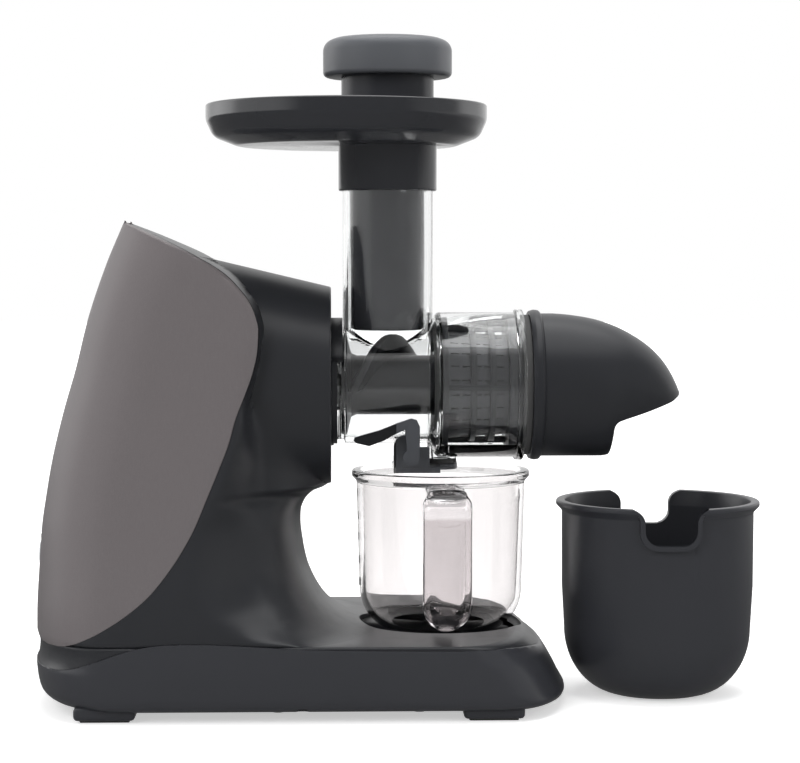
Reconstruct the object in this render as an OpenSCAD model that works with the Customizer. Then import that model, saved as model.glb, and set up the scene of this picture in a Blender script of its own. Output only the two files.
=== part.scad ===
// Horizontal slow juicer: a motor tower with a deck, a clear juicing bowl with an auger and strainer,
// a pulp hood, a feed tray with pusher, a juice jug and a pulp cup.
// Millimetres. X runs from the motor end to the pulp end, Y from front to back, Z up from the floor.

/* [Housing] */
// Height of the flat deck that the jug stands on
deck_z = 40.5; // [39.5:0.1:41.5]
// Depth of the round dish in the deck that the jug stands in
dish_d = 6; // [5:0.25:6.5]
// Wall thickness of the housing and base mouldings
wall = 3; // [2.4:0.1:3.4]
// Thickness of the graphite side panel skin
panel_t = 0.9; // [0.7:0.05:1.1]
// Gap line all round the side panel
panel_gap = 0.35; // [0.2:0.05:0.6]

/* [Drum line] */
// Height of the auger axis above the floor
axis_z = 171.4; // [170.5:0.1:172.2]
// Outside radius of the round neck face
neck_r = 54; // [52:0.5:55]
// Outside radius of the feed part of the bowl
bowl_r = 32; // [31.7:0.1:32.6]
// Outside radius of the strainer part of the bowl
bowl_big_r = 40; // [39.6:0.1:41]
// Position along X of the feed chute centre
chute_x = -6.85; // [-8:0.1:-6]
// Outside radius of the feed chute
chute_r = 24.8; // [24.6:0.1:24.9]
// Wall thickness of the feed chute
chute_wall = 3; // [2.6:0.1:3.1]
// Radius of the auger flight in the feed part
auger_r = 28; // [27.4:0.1:28.1]
// Pitch of the auger flight in the feed part
auger_pitch = 82; // [70:1:90]

/* [Feed] */
// Outside radius of the feed tray
tray_r = 77; // [70:0.5:80]
// Height of the tray rim above the floor
tray_top = 325; // [322:0.5:328]
// Radius of the pusher cap
cap_r = 35.25; // [33:0.25:37]
// Radius of the pusher stem that runs in the chute
stem_r = 20.6; // [19.5:0.1:21]

/* [Jug and cup] */
// Position along X of the jug centre
jug_x = 22.4; // [21:0.1:23]
// Outside radius of the jug under its rim
jug_r = 46.5; // [44:0.5:47]
// Height of the jug rim above the floor
jug_top = 124.8; // [118:0.2:124.8]
// Wall thickness of the jug
jug_wall = 3; // [2.4:0.1:3.4]
// Position along X of the pulp cup centre
cup_x = 143.1; // [143:0.2:148]
// Outside radius of the pulp cup under its rim
cup_r = 53; // [50:0.5:53]
// Height of the pulp cup rim
cup_top = 107.5; // [100:0.5:110]
// Wall thickness of the pulp cup
cup_wall = 2.6; // [2:0.1:3]

/* [Gear train] */
// Thickness of the side walls of the gearbox case
case_wall = 3; // [2.4:0.1:3.4]
// Outside radius of the motor can
motor_r = 35; // [32:0.5:35.5]

/* [Controls] */
// Radius of each push button
button_r = 8; // [6.5:0.25:8.5]
// Stick-out of the buttons from the bezel at rest
button_out = 1.6; // [1.4:0.1:2.2]

/* [Hidden] */
$fn = 72;
charcoal = [0.2, 0.2, 0.21];
graphite = [0.44, 0.42, 0.41];
black = [0.08, 0.08, 0.09];
steel = [0.75, 0.76, 0.78];
clear = [0.85, 0.9, 0.92, 0.35];
copper = [0.72, 0.42, 0.2];
green = [0.1, 0.35, 0.2];
white = [0.85, 0.85, 0.83];
// Modules of the two gear stages and the shaft spacing that they give
mod_1 = 1;
mod_2 = 1.25;
stage_1 = mod_1 * (14 + 46) / 2;
stage_2 = mod_2 * (15 + 55) / 2;
lay_z = axis_z - stage_2;
motor_z = lay_z - stage_1;
// Lower end of the juice spout and height of the drip stop's pin
spout_z = axis_z - bowl_big_r - 0.4;
pin_z = spout_z + 3.4;

// ---- smooth curves through tables of [position, value] pairs ----
function seg(x, t, i = 0) = (i >= len(t) - 2 || x <= t[i + 1][0]) ? i : seg(x, t, i + 1);
function rise(t, i) = (t[i + 1][1] - t[i][1]) / (t[i + 1][0] - t[i][0]);
function tangent(t, i) =
    i == 0 ? rise(t, 0) : i == len(t) - 1 ? rise(t, i - 1) :
    let(a = rise(t, i - 1), b = rise(t, i)) a * b <= 0 ? 0 : 2 * a * b / (a + b);
function curve(t, x) =
    let(i = seg(x, t), h = t[i + 1][0] - t[i][0], u = min(1, max(0, (x - t[i][0]) / h)))
    (2 * u * u * u - 3 * u * u + 1) * t[i][1] + (u * u * u - 2 * u * u + u) * h * tangent(t, i)
    + (3 * u * u - 2 * u * u * u) * t[i + 1][1] + (u * u * u - u * u) * h * tangent(t, i + 1);
function ease(u) = let(v = min(1, max(0, u))) v * v * (3 - 2 * v);
function shoulder(d, r, n) = d <= 0 ? 0 : d >= r ? 1 : pow(1 - pow(1 - d / r, n), 1 / n);

// ---- the tower: tables of height against the side outline and half widths ----
rear_t = [[6, -190], [8, -193.5], [12, -196.6], [20, -198.2], [26, -198.6], [30, -197.4], [36, -197],
    [39, -197.8], [42, -198.7], [47, -198.7], [73.3, -197.6], [95.3, -196.1], [116.1, -193.1],
    [131.9, -190.3], [158, -184.1], [180.9, -177.5], [208.1, -170.7], [237.4, -160.8], [261, -150.9]];
toe_t = [[6, 88], [8, 89.5], [13, 87], [20, 83.5], [26, 80], [30.3, 77], [34, 72.5], [38, 68.5], [40.5, 64]];
front_t = [[40.5, -10], [41, -16], [42.5, -24], [45, -30], [49, -36], [55.1, -41.9], [66.2, -48.4],
    [75, -51.7], [86, -53.9], [97, -55.1], [102.5, -54.9], [108.6, -52.7], [114, -47.2], [116.5, -41],
    [118, -39.4], [120, -40], [130, -46], [145, -56], [157, -68], [165, -79], [174, -77], [182.7, -75],
    [193, -73.4], [203.5, -73], [210.7, -74.6], [218, -78], [225, -83], [232, -89.2], [238, -97.2],
    [244.3, -107.6], [250.5, -120], [256, -131.5], [259, -142], [261, -148.6]];
wide_t = [[6, 82.5], [9, 85.5], [14, 87], [26, 87.4], [45, 86.6], [97, 77.5], [130, 72.5], [165, 67.5],
    [203, 63], [235, 58.5], [261, 53]];
slim_t = [[40.5, 86.8], [42, 84], [45, 79], [50, 73], [60, 65], [75, 58.5], [97, 55], [117, 53], [165, 54]];
from_t = [[40.5, -72], [42, -80], [46, -92], [52, -100], [60, -107], [75, -112], [97, -110], [116, -101],
    [131, -94.5], [145, -89], [157, -86], [165, -82], [174, -78], [183, -75], [193, -73.4], [203.5, -73],
    [210.7, -74.6], [218, -78], [225, -83], [232, -89.2], [261, -148.6]];
to_t = [[40.5, -34], [46, -46], [52, -54], [60, -62], [75, -69], [97, -72], [157, -72], [174, -66], [200, -60],
    [225, -70], [261, -140]];
nose_t = [[40.5, 46], [45, 36], [60, 28], [97, 27], [108, 36], [117, 60], [130, 50], [145, 35], [157, 20],
    [166, 7], [218, 5], [232, 6], [261, 8]];
inset_t = [[40, 1], [200, 1], [225, 1.6], [240, 2.5], [261, 2.6]];
edge_t = [[38.7, -187], [39.7, -178], [44.4, -165.4], [51, -153], [58, -142.5], [67, -132], [77, -123.7],
    [87.6, -116.4], [101, -109], [115.8, -102.8], [131.4, -96.4], [145, -91.2], [156.8, -88],
    [170.3, -82.8], [182.7, -78.6], [193, -76.5], [203.5, -76], [210.7, -77.5], [218, -80.6],
    [225, -85.7], [232, -91.9], [238, -100.1], [244.3, -110.4], [250.5, -122.7], [256, -134], [260, -147]];
seam_t = [[-205, 25.2], [-199, 25.6], [-183, 26.6], [-173, 28.7], [-160, 33.2], [-147, 37.8], [-136, 40.6],
    [-122, 42.2], [-107, 42.3], [-81, 41.2], [-60, 39.8], [-33, 39], [0, 38.6], [40, 38.2], [53.5, 37.6],
    [62, 36], [67.5, 34.5], [77.3, 30.3], [95, 22]];

// Front end of the level slice at height z: the toe under the deck, the column and rim above it
function front_x(z, deck) = deck ? curve(toe_t, z) : curve(front_t, z);
// Half width of the tower at a point of its side outline, for a slice with ends a and b
function half_w(x, z, a, b, deck, o) =
    let(w = curve(wide_t, z) - o, s = curve(slim_t, z) - o, fa = curve(from_t, z), fb = curve(to_t, z))
    (deck ? w : w + (s - w) * ease((x - fa) / (fb - fa)))
    * shoulder(x - a, 46, 2.2) * shoulder(b - x, deck ? 40 : curve(nose_t, z), deck ? 2.4 : z > 166 ? 3 : 2);
function clamp(v, lo, hi) = min(hi, max(lo, v));
// Steps along a slice, close together at both ends and where the side steps in
function steps(z, a, b, deck, n) =
    let(l = b - a, s0 = min(0.34, 46 / l), nose = deck ? 40 : curve(nose_t, z),
        s1 = clamp((curve(from_t, z) - a) / l, s0 + 0.05, 0.7),
        s2 = clamp((curve(to_t, z) - a) / l, s1 + 0.05, 0.8),
        s3 = clamp(1 - nose / l, s2 + 0.04, 0.97))
    [for (i = [0 : n]) s0 * (1 - cos(90 * i / n)),
     for (i = [1 : 2]) s0 + (s1 - s0) * i / 2,
     for (i = [1 : 4]) s1 + (s2 - s1) * i / 4,
     for (i = [1 : 2]) s2 + (s3 - s2) * i / 2,
     for (i = [1 : n]) s3 + (1 - s3) * sin(90 * i / n)];
// One closed ring of points: a level slice of the tower, set in by o, drawn at height zp
function slice(z, deck, o, zp, n) =
    let(a = curve(rear_t, z) + o, b = front_x(z, deck) - o * (deck ? 1 : curve(inset_t, z)),
        st = steps(z, a, b, deck, n), m = len(st))
    [for (i = [0 : m - 1]) let(x = a + (b - a) * st[i]) [x, half_w(x, z, a, b, deck, o), zp],
     for (i = [m - 2 : -1 : 1]) let(x = a + (b - a) * st[i]) [x, -half_w(x, z, a, b, deck, o), zp]];
function flat_list(l) = [for (r = l) for (p = r) p];
// Closed skin over a list of rings that all hold the same number of points
module skin(rings) {
    n = len(rings[0]);
    k = len(rings);
    polyhedron(points = flat_list(rings), faces = concat(
        [[for (i = [n - 1 : -1 : 0]) i]],
        [for (j = [0 : k - 2]) for (i = [0 : n - 1])
            [j * n + i, (j + 1) * n + (i + 1) % n, (j + 1) * n + i]],
        [for (j = [0 : k - 2]) for (i = [0 : n - 1])
            [j * n + i, j * n + (i + 1) % n, (j + 1) * n + (i + 1) % n]],
        [[for (i = [0 : n - 1]) (k - 1) * n + i]]), convexity = 8);
}
under_zs = [16, 26, 30, 34, 38, deck_z];
tower_zs = [42, 45, 50, 58, 70, 84, 97, 105, 111, 115, 119, 126, 136, 148,
    159, 168, 180, 193, 206, 217, 226, 234, 241, 248, 254, 258.6];
// The whole outer form, set in by o all round, with n steps round each end
module tower(o, n) {
    top = o > 0.5 ? 259.7 : 261;
    skin([for (z = under_zs) slice(z, true, o, z, n), slice(deck_z, false, o, deck_z + 0.05, n),
        for (z = tower_zs) slice(z, false, o, z, n), slice(top, false, o, top, n)]);
}
// Hollow of the tower, open at the bottom
in_zs = [45, 54, 70, 95, 107, 113, 119, 135, 157, 168, 190, 212, 228, 240, 248, 254];
module tower_hollow(o, n) {
    skin([slice(14, true, o, 2, n), slice(38, true, o, deck_z - wall, n),
        slice(41, false, o, deck_z - wall + 0.06, n), for (z = in_zs) slice(z, false, o, z, n)]);
}
// Round neck behind the lock ring: a drum that rises and widens towards the tower
function neck_ring(x, o, n) =
    let(top = axis_z + neck_r + 0.2376 * (-38 - x) - o, bot = axis_z - neck_r + o,
        w = neck_r + 0.055 * (-38 - x) - o, c = (top + bot) / 2, h = (top - bot) / 2)
    [for (i = [0 : n - 1]) let(a = 360 * (i + 0.5) / n) [x, w * sin(a), c - h * cos(a)]];
module neck(o, x0, n) {
    r1 = neck_ring(x0, o + (o == 0 ? 0.9 : 0), n);
    skin([r1, for (x = [x0 - 0.9, x0 - 10, x0 - 22, x0 - 36, x0 - 50, x0 - 66]) neck_ring(x, o, n)]);
}
// Everything between two heights of the side outline, drawn through the whole width
module seam_prism(shift, top) {
    xs = [for (x = [-204 : 7.45 : 94]) x];
    translate([0, 110, 0]) rotate([90, 0, 0]) linear_extrude(220) polygon(concat(
        [for (x = xs) [x, curve(seam_t, x) + shift]], [[xs[len(xs) - 1], top], [-204, top]]));
}
module panel_prism(grow) {
    zs = [for (i = [0 : 46]) 38.7 + (260 - 38.7) * i / 46];
    translate([0, 110, 0]) rotate([90, 0, 0]) linear_extrude(220) offset(delta = grow) polygon(concat(
        [[-215, 38.5]], [for (z = zs) [curve(edge_t, z), z]], [[-152.5, 262.2], [-215, 262.2]]));
}
// Turns a shape drawn along local Z so that it runs along X at height z
module along_x(x, z, y = 0) {
    translate([x, y, z]) rotate([90, 0, 90]) children();
}
module rod_x(x0, x1, r, z, y = 0, n = 72) {
    along_x(x0, z, y) cylinder(r = r, h = x1 - x0, $fn = n);
}
module tube_x(x0, x1, r, ri, z, y = 0) {
    along_x(x0, z, y) difference() {
        cylinder(r = r, h = x1 - x0);
        translate([0, 0, -1]) cylinder(r = ri, h = x1 - x0 + 2);
    }
}
// Profile of [radius, x] pairs spun about the drum line
module spin_x(pts) {
    translate([0, 0, axis_z]) rotate([0, 90, 0]) rotate_extrude() polygon(pts);
}
module hex_x(x0, x1, af, z) {
    along_x(x0, z) cylinder(r = af / sqrt(3), h = x1 - x0, $fn = 6);
}
screw_pts = [[-120, 68], [-120, -68], [-66, 72], [-66, -72], [8, 72], [8, -72]];
foot_pts = [[-156, 69], [-156, -69], [47, 69], [47, -69]];
// Centre height, outer face, half width and button spacing of the control bezel on the rear end
bezel_z = 80;
bezel_x = -194.6;
bezel_w = 26.5;
button_y = 15.5;

// ---- shell of the machine ----
module main_housing() {
    color(charcoal) difference() {
        resize([0, 0, 0]) difference() {
            union() {
                motor_cradle();
                intersection() {
                    jug_dish(2.4);
                    skin([for (z = [28, 34, 38, 39.7]) slice(z, true, 0.6, z, 6)]);
                }
                housing_wall();
            }
            jug_dish(0);
        }
        rod_x(-45, -37, 16, axis_z);
    }
}
// Outer form less its hollow, the recess under the side panel and the openings in the rear end
module housing_wall() {
    difference() {
        intersection() {
            union() {
                difference() {
                    tower(0, 5);
                    difference() {
                        panel_prism(panel_gap);
                        tower(panel_t + 0.05, 5);
                    }
                }
                neck(0, -38, 52);
            }
            seam_prism(0.15, 300);
        }
        tower_hollow(wall, 4);
        neck(wall, -38 - wall, 32);
        for (y = [-button_y, button_y]) rod_x(-200, -185, button_r + 2, bezel_z, y, 24);
        translate([-210, -bezel_w - 0.3, bezel_z - 13]) cube([bezel_x + 212.7, 2 * bezel_w + 0.6, 26]);
        for (i = [-3 : 3]) translate([-206, i * 9 - 2, 45]) cube([14, 4, 12]);
    }
}
// Round dish that the foot of the jug stands in, grown by g for the moulding under it
module jug_dish(g) {
    floor_z = deck_z - dish_d;
    top_z = deck_z + (g > 0 ? -1 : 20);
    translate([jug_x, 0, 0]) rotate([0, 0, 3.75]) rotate_extrude($fn = 48) polygon(concat(
        [[0, floor_z - g], [40 + g / 2, floor_z - g], [44 + g, floor_z + 3.4]],
        g > 0 ? [[45 + g, top_z]] : [[45, deck_z], [45, top_z]], [[0, top_z]]));
}
// Two ribs inside the tower that the motor can rests in
module motor_cradle() {
    intersection() {
        skin([for (z = [42, 62, 86]) slice(z, false, 1.4, z, 5)]);
        for (x = [-168, -122]) difference() {
            translate([x, -80, 43]) cube([3, 160, 42]);
            along_x(x - 1, motor_z) cylinder(r = motor_r + 0.15, h = 6, $fn = 60);
            translate([x - 1, -28, 40]) cube([6, 56, 16]);
        }
    }
}
function plan(z, o) = [for (p = slice(z, true, o, 0, 6)) [p[0], p[1]]];
module lower_base() {
    color(charcoal) difference() {
        union() {
            resize([0, 0, 0]) union() {
              intersection() {
                for (p = foot_pts) translate([p[0], p[1], 1.4]) foot_pod(p[1] > 0 ? 1 : -1);
                linear_extrude(20) polygon(plan(9, 0.6));
              }
              difference() {
                intersection() {
                    skin([for (z = [6, 7, 9, 12, 17, 23, 28, 33, 38, 44])
                        slice(min(z, 40), true, -0.5, z, 6)]);
                    difference() {
                        translate([-220, -120, 0]) cube([340, 240, 60]);
                        seam_prism(0, 80);
                    }
                }
                skin([slice(7, true, 3.4, -1, 5), slice(9, true, 3.4, 9.2, 5), slice(16, true, 3.4, 16, 5),
                    slice(27, true, 3.4, 27, 5), slice(38, true, 3.4, 52, 5)]);
                translate([-53, -78, 5.5]) rotate([90, 0, 0]) scale([1, 0.75, 1])
                    cylinder(r = 4.5, h = 20, $fn = 20);
              }
            }
            for (p = screw_pts) translate([p[0], p[1], 9.05]) screw_post(p[1] > 0 ? 1 : -1, 85.2 - abs(p[1]));
        }
        for (p = screw_pts) translate([p[0], p[1], 0]) cylinder(r = 1.55, h = 24);
        rod_x(-215, -182, 6.1, 18, 45);
        rod_x(-215, -191.85, 8.2, 18, 45);
    }
}
// Post that a screw bites in, tied to the side wall of the base by a rib of the given reach; s is its side
module screw_post(s, reach) {
    cylinder(r = 5, h = 17);
    translate([-1.5, s > 0 ? 0 : -reach, 0]) cube([3, reach, 15]);
}
// Tapered foot with a pocket for its pad, tied to the side wall by a web
module foot_pod(s) {
    difference() {
        union() {
            hull() {
                translate([-16, -12, 0]) cube([32, 24, 0.1]);
                translate([-18.5, -15, 5.2]) cube([37, 30, 2.6]);
            }
            translate([-16, s > 0 ? 7 : -19, 5]) cube([32, 12, 2.8]);
        }
        translate([-13.1, -8.1, -1]) cube([26.2, 16.2, 2.2]);
    }
}
module side_panel() {
    color(graphite) resize([0, 0, 0]) intersection() {
        difference() {
            tower(0, 5);
            tower(panel_t, 5);
        }
        panel_prism(0);
        translate([-230, -120, 38.6]) cube([200, 240, 240]);
        difference() {
            translate([-230, -120, 0]) cube([200, 240, 270]);
            translate([-210, -bezel_w - 0.6, bezel_z - 13.4]) cube([30, 2 * bezel_w + 1.2, 26.8]);
            for (i = [-3 : 3]) translate([-206, i * 9 - 2, 45]) cube([14, 4, 12]);
        }
    }
}
module bottom_plate() {
    color(charcoal) difference() {
        translate([0, 0, 6.6]) linear_extrude(2.4) polygon(plan(7, 4));
        for (p = foot_pts) translate([p[0] - 19.1, p[1] - (p[1] > 0 ? 15.6 : 25), 0]) cube([38.2, 40.6, 20]);
        for (p = screw_pts) translate([p[0], p[1], 0]) cylinder(r = 1.7, h = 20);
        for (x = [-120 : 12 : -36]) for (y = [-22, 22]) translate([x, y - 14, 0]) cube([4, 28, 20]);
    }
}
module foot_pads() {
    color(black) for (p = foot_pts) translate([p[0] - 13, p[1] - 8, 0]) cube([26, 16, 2.5]);
}
module base_screws() {
    color(steel) for (p = screw_pts) translate([p[0], p[1], 0]) {
        difference() {
            translate([0, 0, 4.4]) cylinder(r = 3.2, h = 2.1);
            translate([-0.5, -2.4, 4]) cube([1, 4.8, 1.4]);
            translate([-2.4, -0.5, 4]) cube([4.8, 1, 1.4]);
        }
        translate([0, 0, 6.5]) cylinder(r = 1.5, h = 16);
    }
}
module lock_ring() {
    color(charcoal) difference() {
        union() {
            tube_x(-37.95, -34.6, 32.4, 30.5, axis_z);
            tube_x(-37.95, -36.6, 33.4, 30.5, axis_z);
            along_x(-37.95, axis_z) intersection() {
                difference() {
                    cylinder(r = 37.6, h = 6.2);
                    translate([0, 0, -1]) cylinder(r = 30.5, h = 10);
                }
                translate([0, 0, -1]) linear_extrude(10) polygon([[0, 0], [-60 * cos(26), 60 * sin(26)],
                    [-60 * cos(54), 60 * sin(54)], [-60 * cos(82), 60 * sin(82)]]);
            }
        }
        for (a = [30, 150, 270]) along_x(-35.4, axis_z) rotate([0, 0, a])
            translate([30, -5, 0]) cube([1.6, 10, 10]);
    }
}
module shaft_seal() {
    color(black) difference() {
        rod_x(-41, -38.1, 15.95, axis_z);
        rod_x(-44, -30, 11.1, axis_z);
    }
}

// ---- motor ----
module motor_can() {
    color(steel) difference() {
        tube_x(-183, -98.05, motor_r, motor_r - 2, motor_z);
        for (a = [45 : 90 : 315]) along_x(-110, motor_z) rotate([0, 0, a])
            translate([20, -6, 0]) cube([30, 12, 8]);
    }
    color(steel) difference() {
        rod_x(-181, -178.5, motor_r - 1.99, motor_z);
        rod_x(-184, -175, 9.5, motor_z);
        for (a = [0 : 60 : 300]) rod_x(-184, -175, 4, motor_z + 20 * sin(a), 20 * cos(a));
    }
}
module motor_magnets() {
    color(black) for (s = [-1, 1]) intersection() {
        tube_x(-162, -114, motor_r - 2.05, motor_r - 8, motor_z);
        translate([-170, s > 0 ? 9 : -60, motor_z - 24]) cube([70, 51, 48]);
    }
}
module motor_end_plate() {
    color(steel) difference() {
        rod_x(-98, -95.1, motor_r, motor_z);
        rod_x(-99, -90, 9.5, motor_z);
        for (a = [30 : 60 : 330]) rod_x(-99, -90, 4, motor_z + 20 * sin(a), 20 * cos(a));
    }
}
module motor_bearings() {
    color(steel) {
        tube_x(-182, -177, 9.45, 3.05, motor_z);
        tube_x(-100, -95.2, 9.45, 3.05, motor_z);
    }
}
module brush_holders() {
    color(black) for (s = [-1, 1]) difference() {
        translate([-174, s > 0 ? 12.5 : -32.6, motor_z - 5]) cube([10, 20.1, 10]);
        translate([-172.5, s * 22 - 20, motor_z - 3.5]) cube([7, 40, 7]);
    }
}
module carbon_brushes() {
    color(black) for (s = [-1, 1])
        translate([-172.4, s > 0 ? 11.4 : -29.4, motor_z - 3.4]) cube([6.8, 18, 6.8]);
}

// ---- rotor ----
module motor_shaft() {
    color(steel) rod_x(-183.5, -77.9, 3, motor_z);
}
module rotor_core() {
    color(steel) difference() {
        rod_x(-158, -118, 25.5, motor_z);
        rod_x(-160, -110, 3.02, motor_z);
        for (a = [0 : 30 : 330]) along_x(-160, motor_z) rotate([0, 0, a]) {
            translate([15, -2.4, 0]) cube([7.5, 4.8, 50]);
            translate([20, -0.8, 0]) cube([7.5, 1.6, 50]);
        }
    }
}
module rotor_windings() {
    color(copper) {
        tube_x(-163.6, -158.05, 22, 11.2, motor_z);
        tube_x(-117.95, -113.5, 22, 5, motor_z);
        for (a = [0 : 30 : 330]) along_x(-158.05, motor_z) rotate([0, 0, a]) translate([15.2, -2.2, 0])
            cube([6.2, 4.4, 40.1]);
    }
}
module commutator() {
    color(copper) difference() {
        rod_x(-176, -158.2, 11, motor_z);
        rod_x(-177, -150, 3.02, motor_z);
        for (a = [0 : 30 : 330]) along_x(-177, motor_z) rotate([0, 0, a])
            translate([9.6, -0.4, 0]) cube([3, 0.8, 15]);
    }
}
module cooling_fan() {
    color(black) {
        tube_x(-111, -102.5, 7, 3.02, motor_z);
        tube_x(-111.5, -109.8, 31, 6.9, motor_z);
        for (a = [0 : 30 : 330]) along_x(-110, motor_z) rotate([0, 0, a])
            translate([12, -0.7, 0]) cube([18, 1.4, 7]);
    }
}

// ---- gears ----
// Outline of a spur gear with n teeth; the middle of one tooth points at angle phase
function involute(a) = tan(a) * 180 / PI - a;
function tooth_half(n, m) =
    let(rp = n * m / 2, rb = rp * cos(20), ro = rp + 0.8 * m, rr = rp - 1.05 * m, r0 = max(rb, rr),
        th = 90 / n - 0.07 / rp * 180 / PI)
    concat([[min(rr, r0 - 0.01), th + involute(20) - involute(acos(rb / r0))]],
        [for (i = [0 : 3]) let(r = r0 + (ro - r0) * i / 3) [r, th + involute(20) - involute(acos(rb / r))]]);
module gear_2d(n, m, phase) {
    t = tooth_half(n, m);
    polygon([for (k = [0 : n - 1]) each concat(
        [for (i = [0 : 4]) let(a = phase + k * 360 / n - t[i][1]) t[i][0] * [cos(a), sin(a)]],
        [for (i = [4 : -1 : 0]) let(a = phase + k * 360 / n + t[i][1]) t[i][0] * [cos(a), sin(a)]])]);
}
module gear_x(x0, x1, z, n, m, phase, bore) {
    along_x(x0, z) difference() {
        linear_extrude(x1 - x0) gear_2d(n, m, phase);
        translate([0, 0, -1]) cylinder(r = bore, h = x1 - x0 + 2);
    }
}
module motor_pinion() {
    color(steel) gear_x(-87.5, -78.5, motor_z, 14, mod_1, 90, 3.02);
}
module layshaft() {
    color(steel) rod_x(-94.5, -62.3, 4, lay_z);
}
module layshaft_wheel() {
    color(white) difference() {
        gear_x(-87, -79, lay_z, 46, mod_1, -90 + 180 / 46, 4.02);
        along_x(-82, lay_z) difference() {
            cylinder(r = 19, h = 10);
            translate([0, 0, -1]) cylinder(r = 8, h = 12);
        }
    }
}
module layshaft_pinion() {
    color(steel) gear_x(-77.6, -66.4, lay_z, 15, mod_2, 90, 4.02);
}
module output_shaft() {
    color(steel) rod_x(-94.5, -50.2, 6, axis_z);
}
module output_wheel() {
    color(white) difference() {
        gear_x(-77, -67, axis_z, 55, mod_2, -90 + 180 / 55, 6.02);
        for (x = [-79, -70]) along_x(x, axis_z) difference() {
            cylinder(r = 30, h = 5);
            translate([0, 0, -1]) cylinder(r = 11, h = 12);
        }
        for (a = [0 : 60 : 300]) rod_x(-80, -60, 5, axis_z + 20 * sin(a), 20 * cos(a));
    }
}
module drive_coupling() {
    color(steel) difference() {
        rod_x(-56.6, -38.6, 11, axis_z);
        rod_x(-60, -50, 6.02, axis_z);
        hex_x(-50.1, -30, 12.5, axis_z);
    }
}
module case_2d(grow) {
    offset(r = grow) hull() {
        translate([0, axis_z]) circle(r = 39);
        translate([0, lay_z]) circle(r = 27.5);
        translate([0, motor_z]) circle(r = 12);
    }
}
case_screws = [[-31, axis_z + 31], [31, axis_z + 31], [-37.6, lay_z + 15.4], [37.6, lay_z + 15.4],
    [-12, motor_z - 12], [12, motor_z - 12]];
module gearbox_case() {
    color(black) difference() {
        along_x(-95, 0) linear_extrude(29.9) case_2d(case_wall);
        along_x(-89, 0) linear_extrude(40) case_2d(0);
        rod_x(-96, -80, 8.05, lay_z);
        rod_x(-96, -80, 12.05, axis_z);
        rod_x(-96, -80, 10, motor_z);
    }
    color(black) difference() {
        for (p = case_screws) rod_x(-95, -65.1, 4, p[1], p[0]);
        for (p = case_screws) rod_x(-85, -60, 1.55, p[1], p[0]);
        along_x(-89, 0) linear_extrude(40) case_2d(2);
    }
}
module gearbox_cover() {
    color(black) difference() {
        union() {
            along_x(-65, 0) linear_extrude(3) case_2d(case_wall);
            for (p = case_screws) rod_x(-65, -62, 4, p[1], p[0]);
            rod_x(-63, -41.05, 17, axis_z);
        }
        rod_x(-66, -40, 14.05, axis_z);
        rod_x(-66, -61, 8.05, lay_z);
        for (p = case_screws) rod_x(-66, -60, 1.7, p[1], p[0]);
    }
}
module gearbox_screws() {
    color(steel) for (p = case_screws) {
        rod_x(-80, -61.9, 1.5, p[1], p[0]);
        rod_x(-61.95, -60, 3, p[1], p[0]);
    }
}
module gear_bearings() {
    color(steel) {
        tube_x(-94.9, -89.2, 8, 4.05, lay_z);
        tube_x(-64.9, -62.1, 8, 4.05, lay_z);
        tube_x(-94.9, -89.2, 12, 6.05, axis_z);
        tube_x(-64.9, -57.1, 14, 6.05, axis_z);
    }
}

// ---- controls on the rear face and electrics ----
module control_bezel() {
    color(black) difference() {
        translate([bezel_x, -bezel_w, bezel_z - 12.7]) cube([2.7, 2 * bezel_w, 25.4]);
        for (y = [-button_y, button_y]) rod_x(-200, -190, button_r + 0.3, bezel_z, y);
        for (z = [-6, 0, 6]) rod_x(-200, -190, 1.55, bezel_z + z, 0);
    }
}
module push_button(y) {
    difference() {
        union() {
            rod_x(bezel_x - button_out, bezel_x + 5, button_r, bezel_z, y);
            rod_x(bezel_x + 2.8, bezel_x + 5, button_r + 1.2, bezel_z, y);
        }
        rod_x(bezel_x + 2.6, bezel_x + 8, 4.4, bezel_z, y);
    }
    rod_x(bezel_x + 2.5, bezel_x + 5.8, 1.6, bezel_z, y);
}
module start_button() {
    color(white) push_button(-button_y);
}
module reverse_button() {
    color(white) push_button(button_y);
}
module button_springs() {
    color(steel) for (y = [-button_y, button_y]) tube_x(bezel_x + 3.9, bezel_x + 7.7, 3.6, 2.8, bezel_z, y);
}
module control_board() {
    color(green) difference() {
        translate([bezel_x + 7.8, -25, bezel_z - 12]) cube([1.6, 50, 24]);
        for (y = [-22, 22]) rod_x(-190, -180, 1.5, bezel_z + 9, y);
    }
    color(black) for (y = [-button_y, button_y]) rod_x(bezel_x + 7.1, bezel_x + 7.9, 1, bezel_z, y);
}
module indicator_lights() {
    color(white) for (z = [-6, 0, 6]) rod_x(bezel_x - 0.3, bezel_x + 7.7, 1.5, bezel_z + z, 0);
}
module power_board() {
    color(green) translate([-150, -30, 12]) cube([70, 60, 1.6]);
    color(black) {
        translate([-142, -12, 13.5]) cylinder(r = 8, h = 20);
        translate([-122, -22, 13.5]) cube([18, 14, 12]);
        translate([-122, 4, 13.5]) cube([26, 16, 9]);
    }
    color(steel) for (p = [[-146, -26], [-146, 26], [-84, -26], [-84, 26]])
        translate([p[0], p[1], 9.05]) cylinder(r = 2.5, h = 3);
}
module inlet_gland() {
    color(black) difference() {
        union() {
            rod_x(-195, -182.5, 6, 18, 45);
            rod_x(-195.5, -191.9, 8, 18, 45);
        }
        rod_x(-200, -180, 3.4, 18, 45);
    }
}

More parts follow.
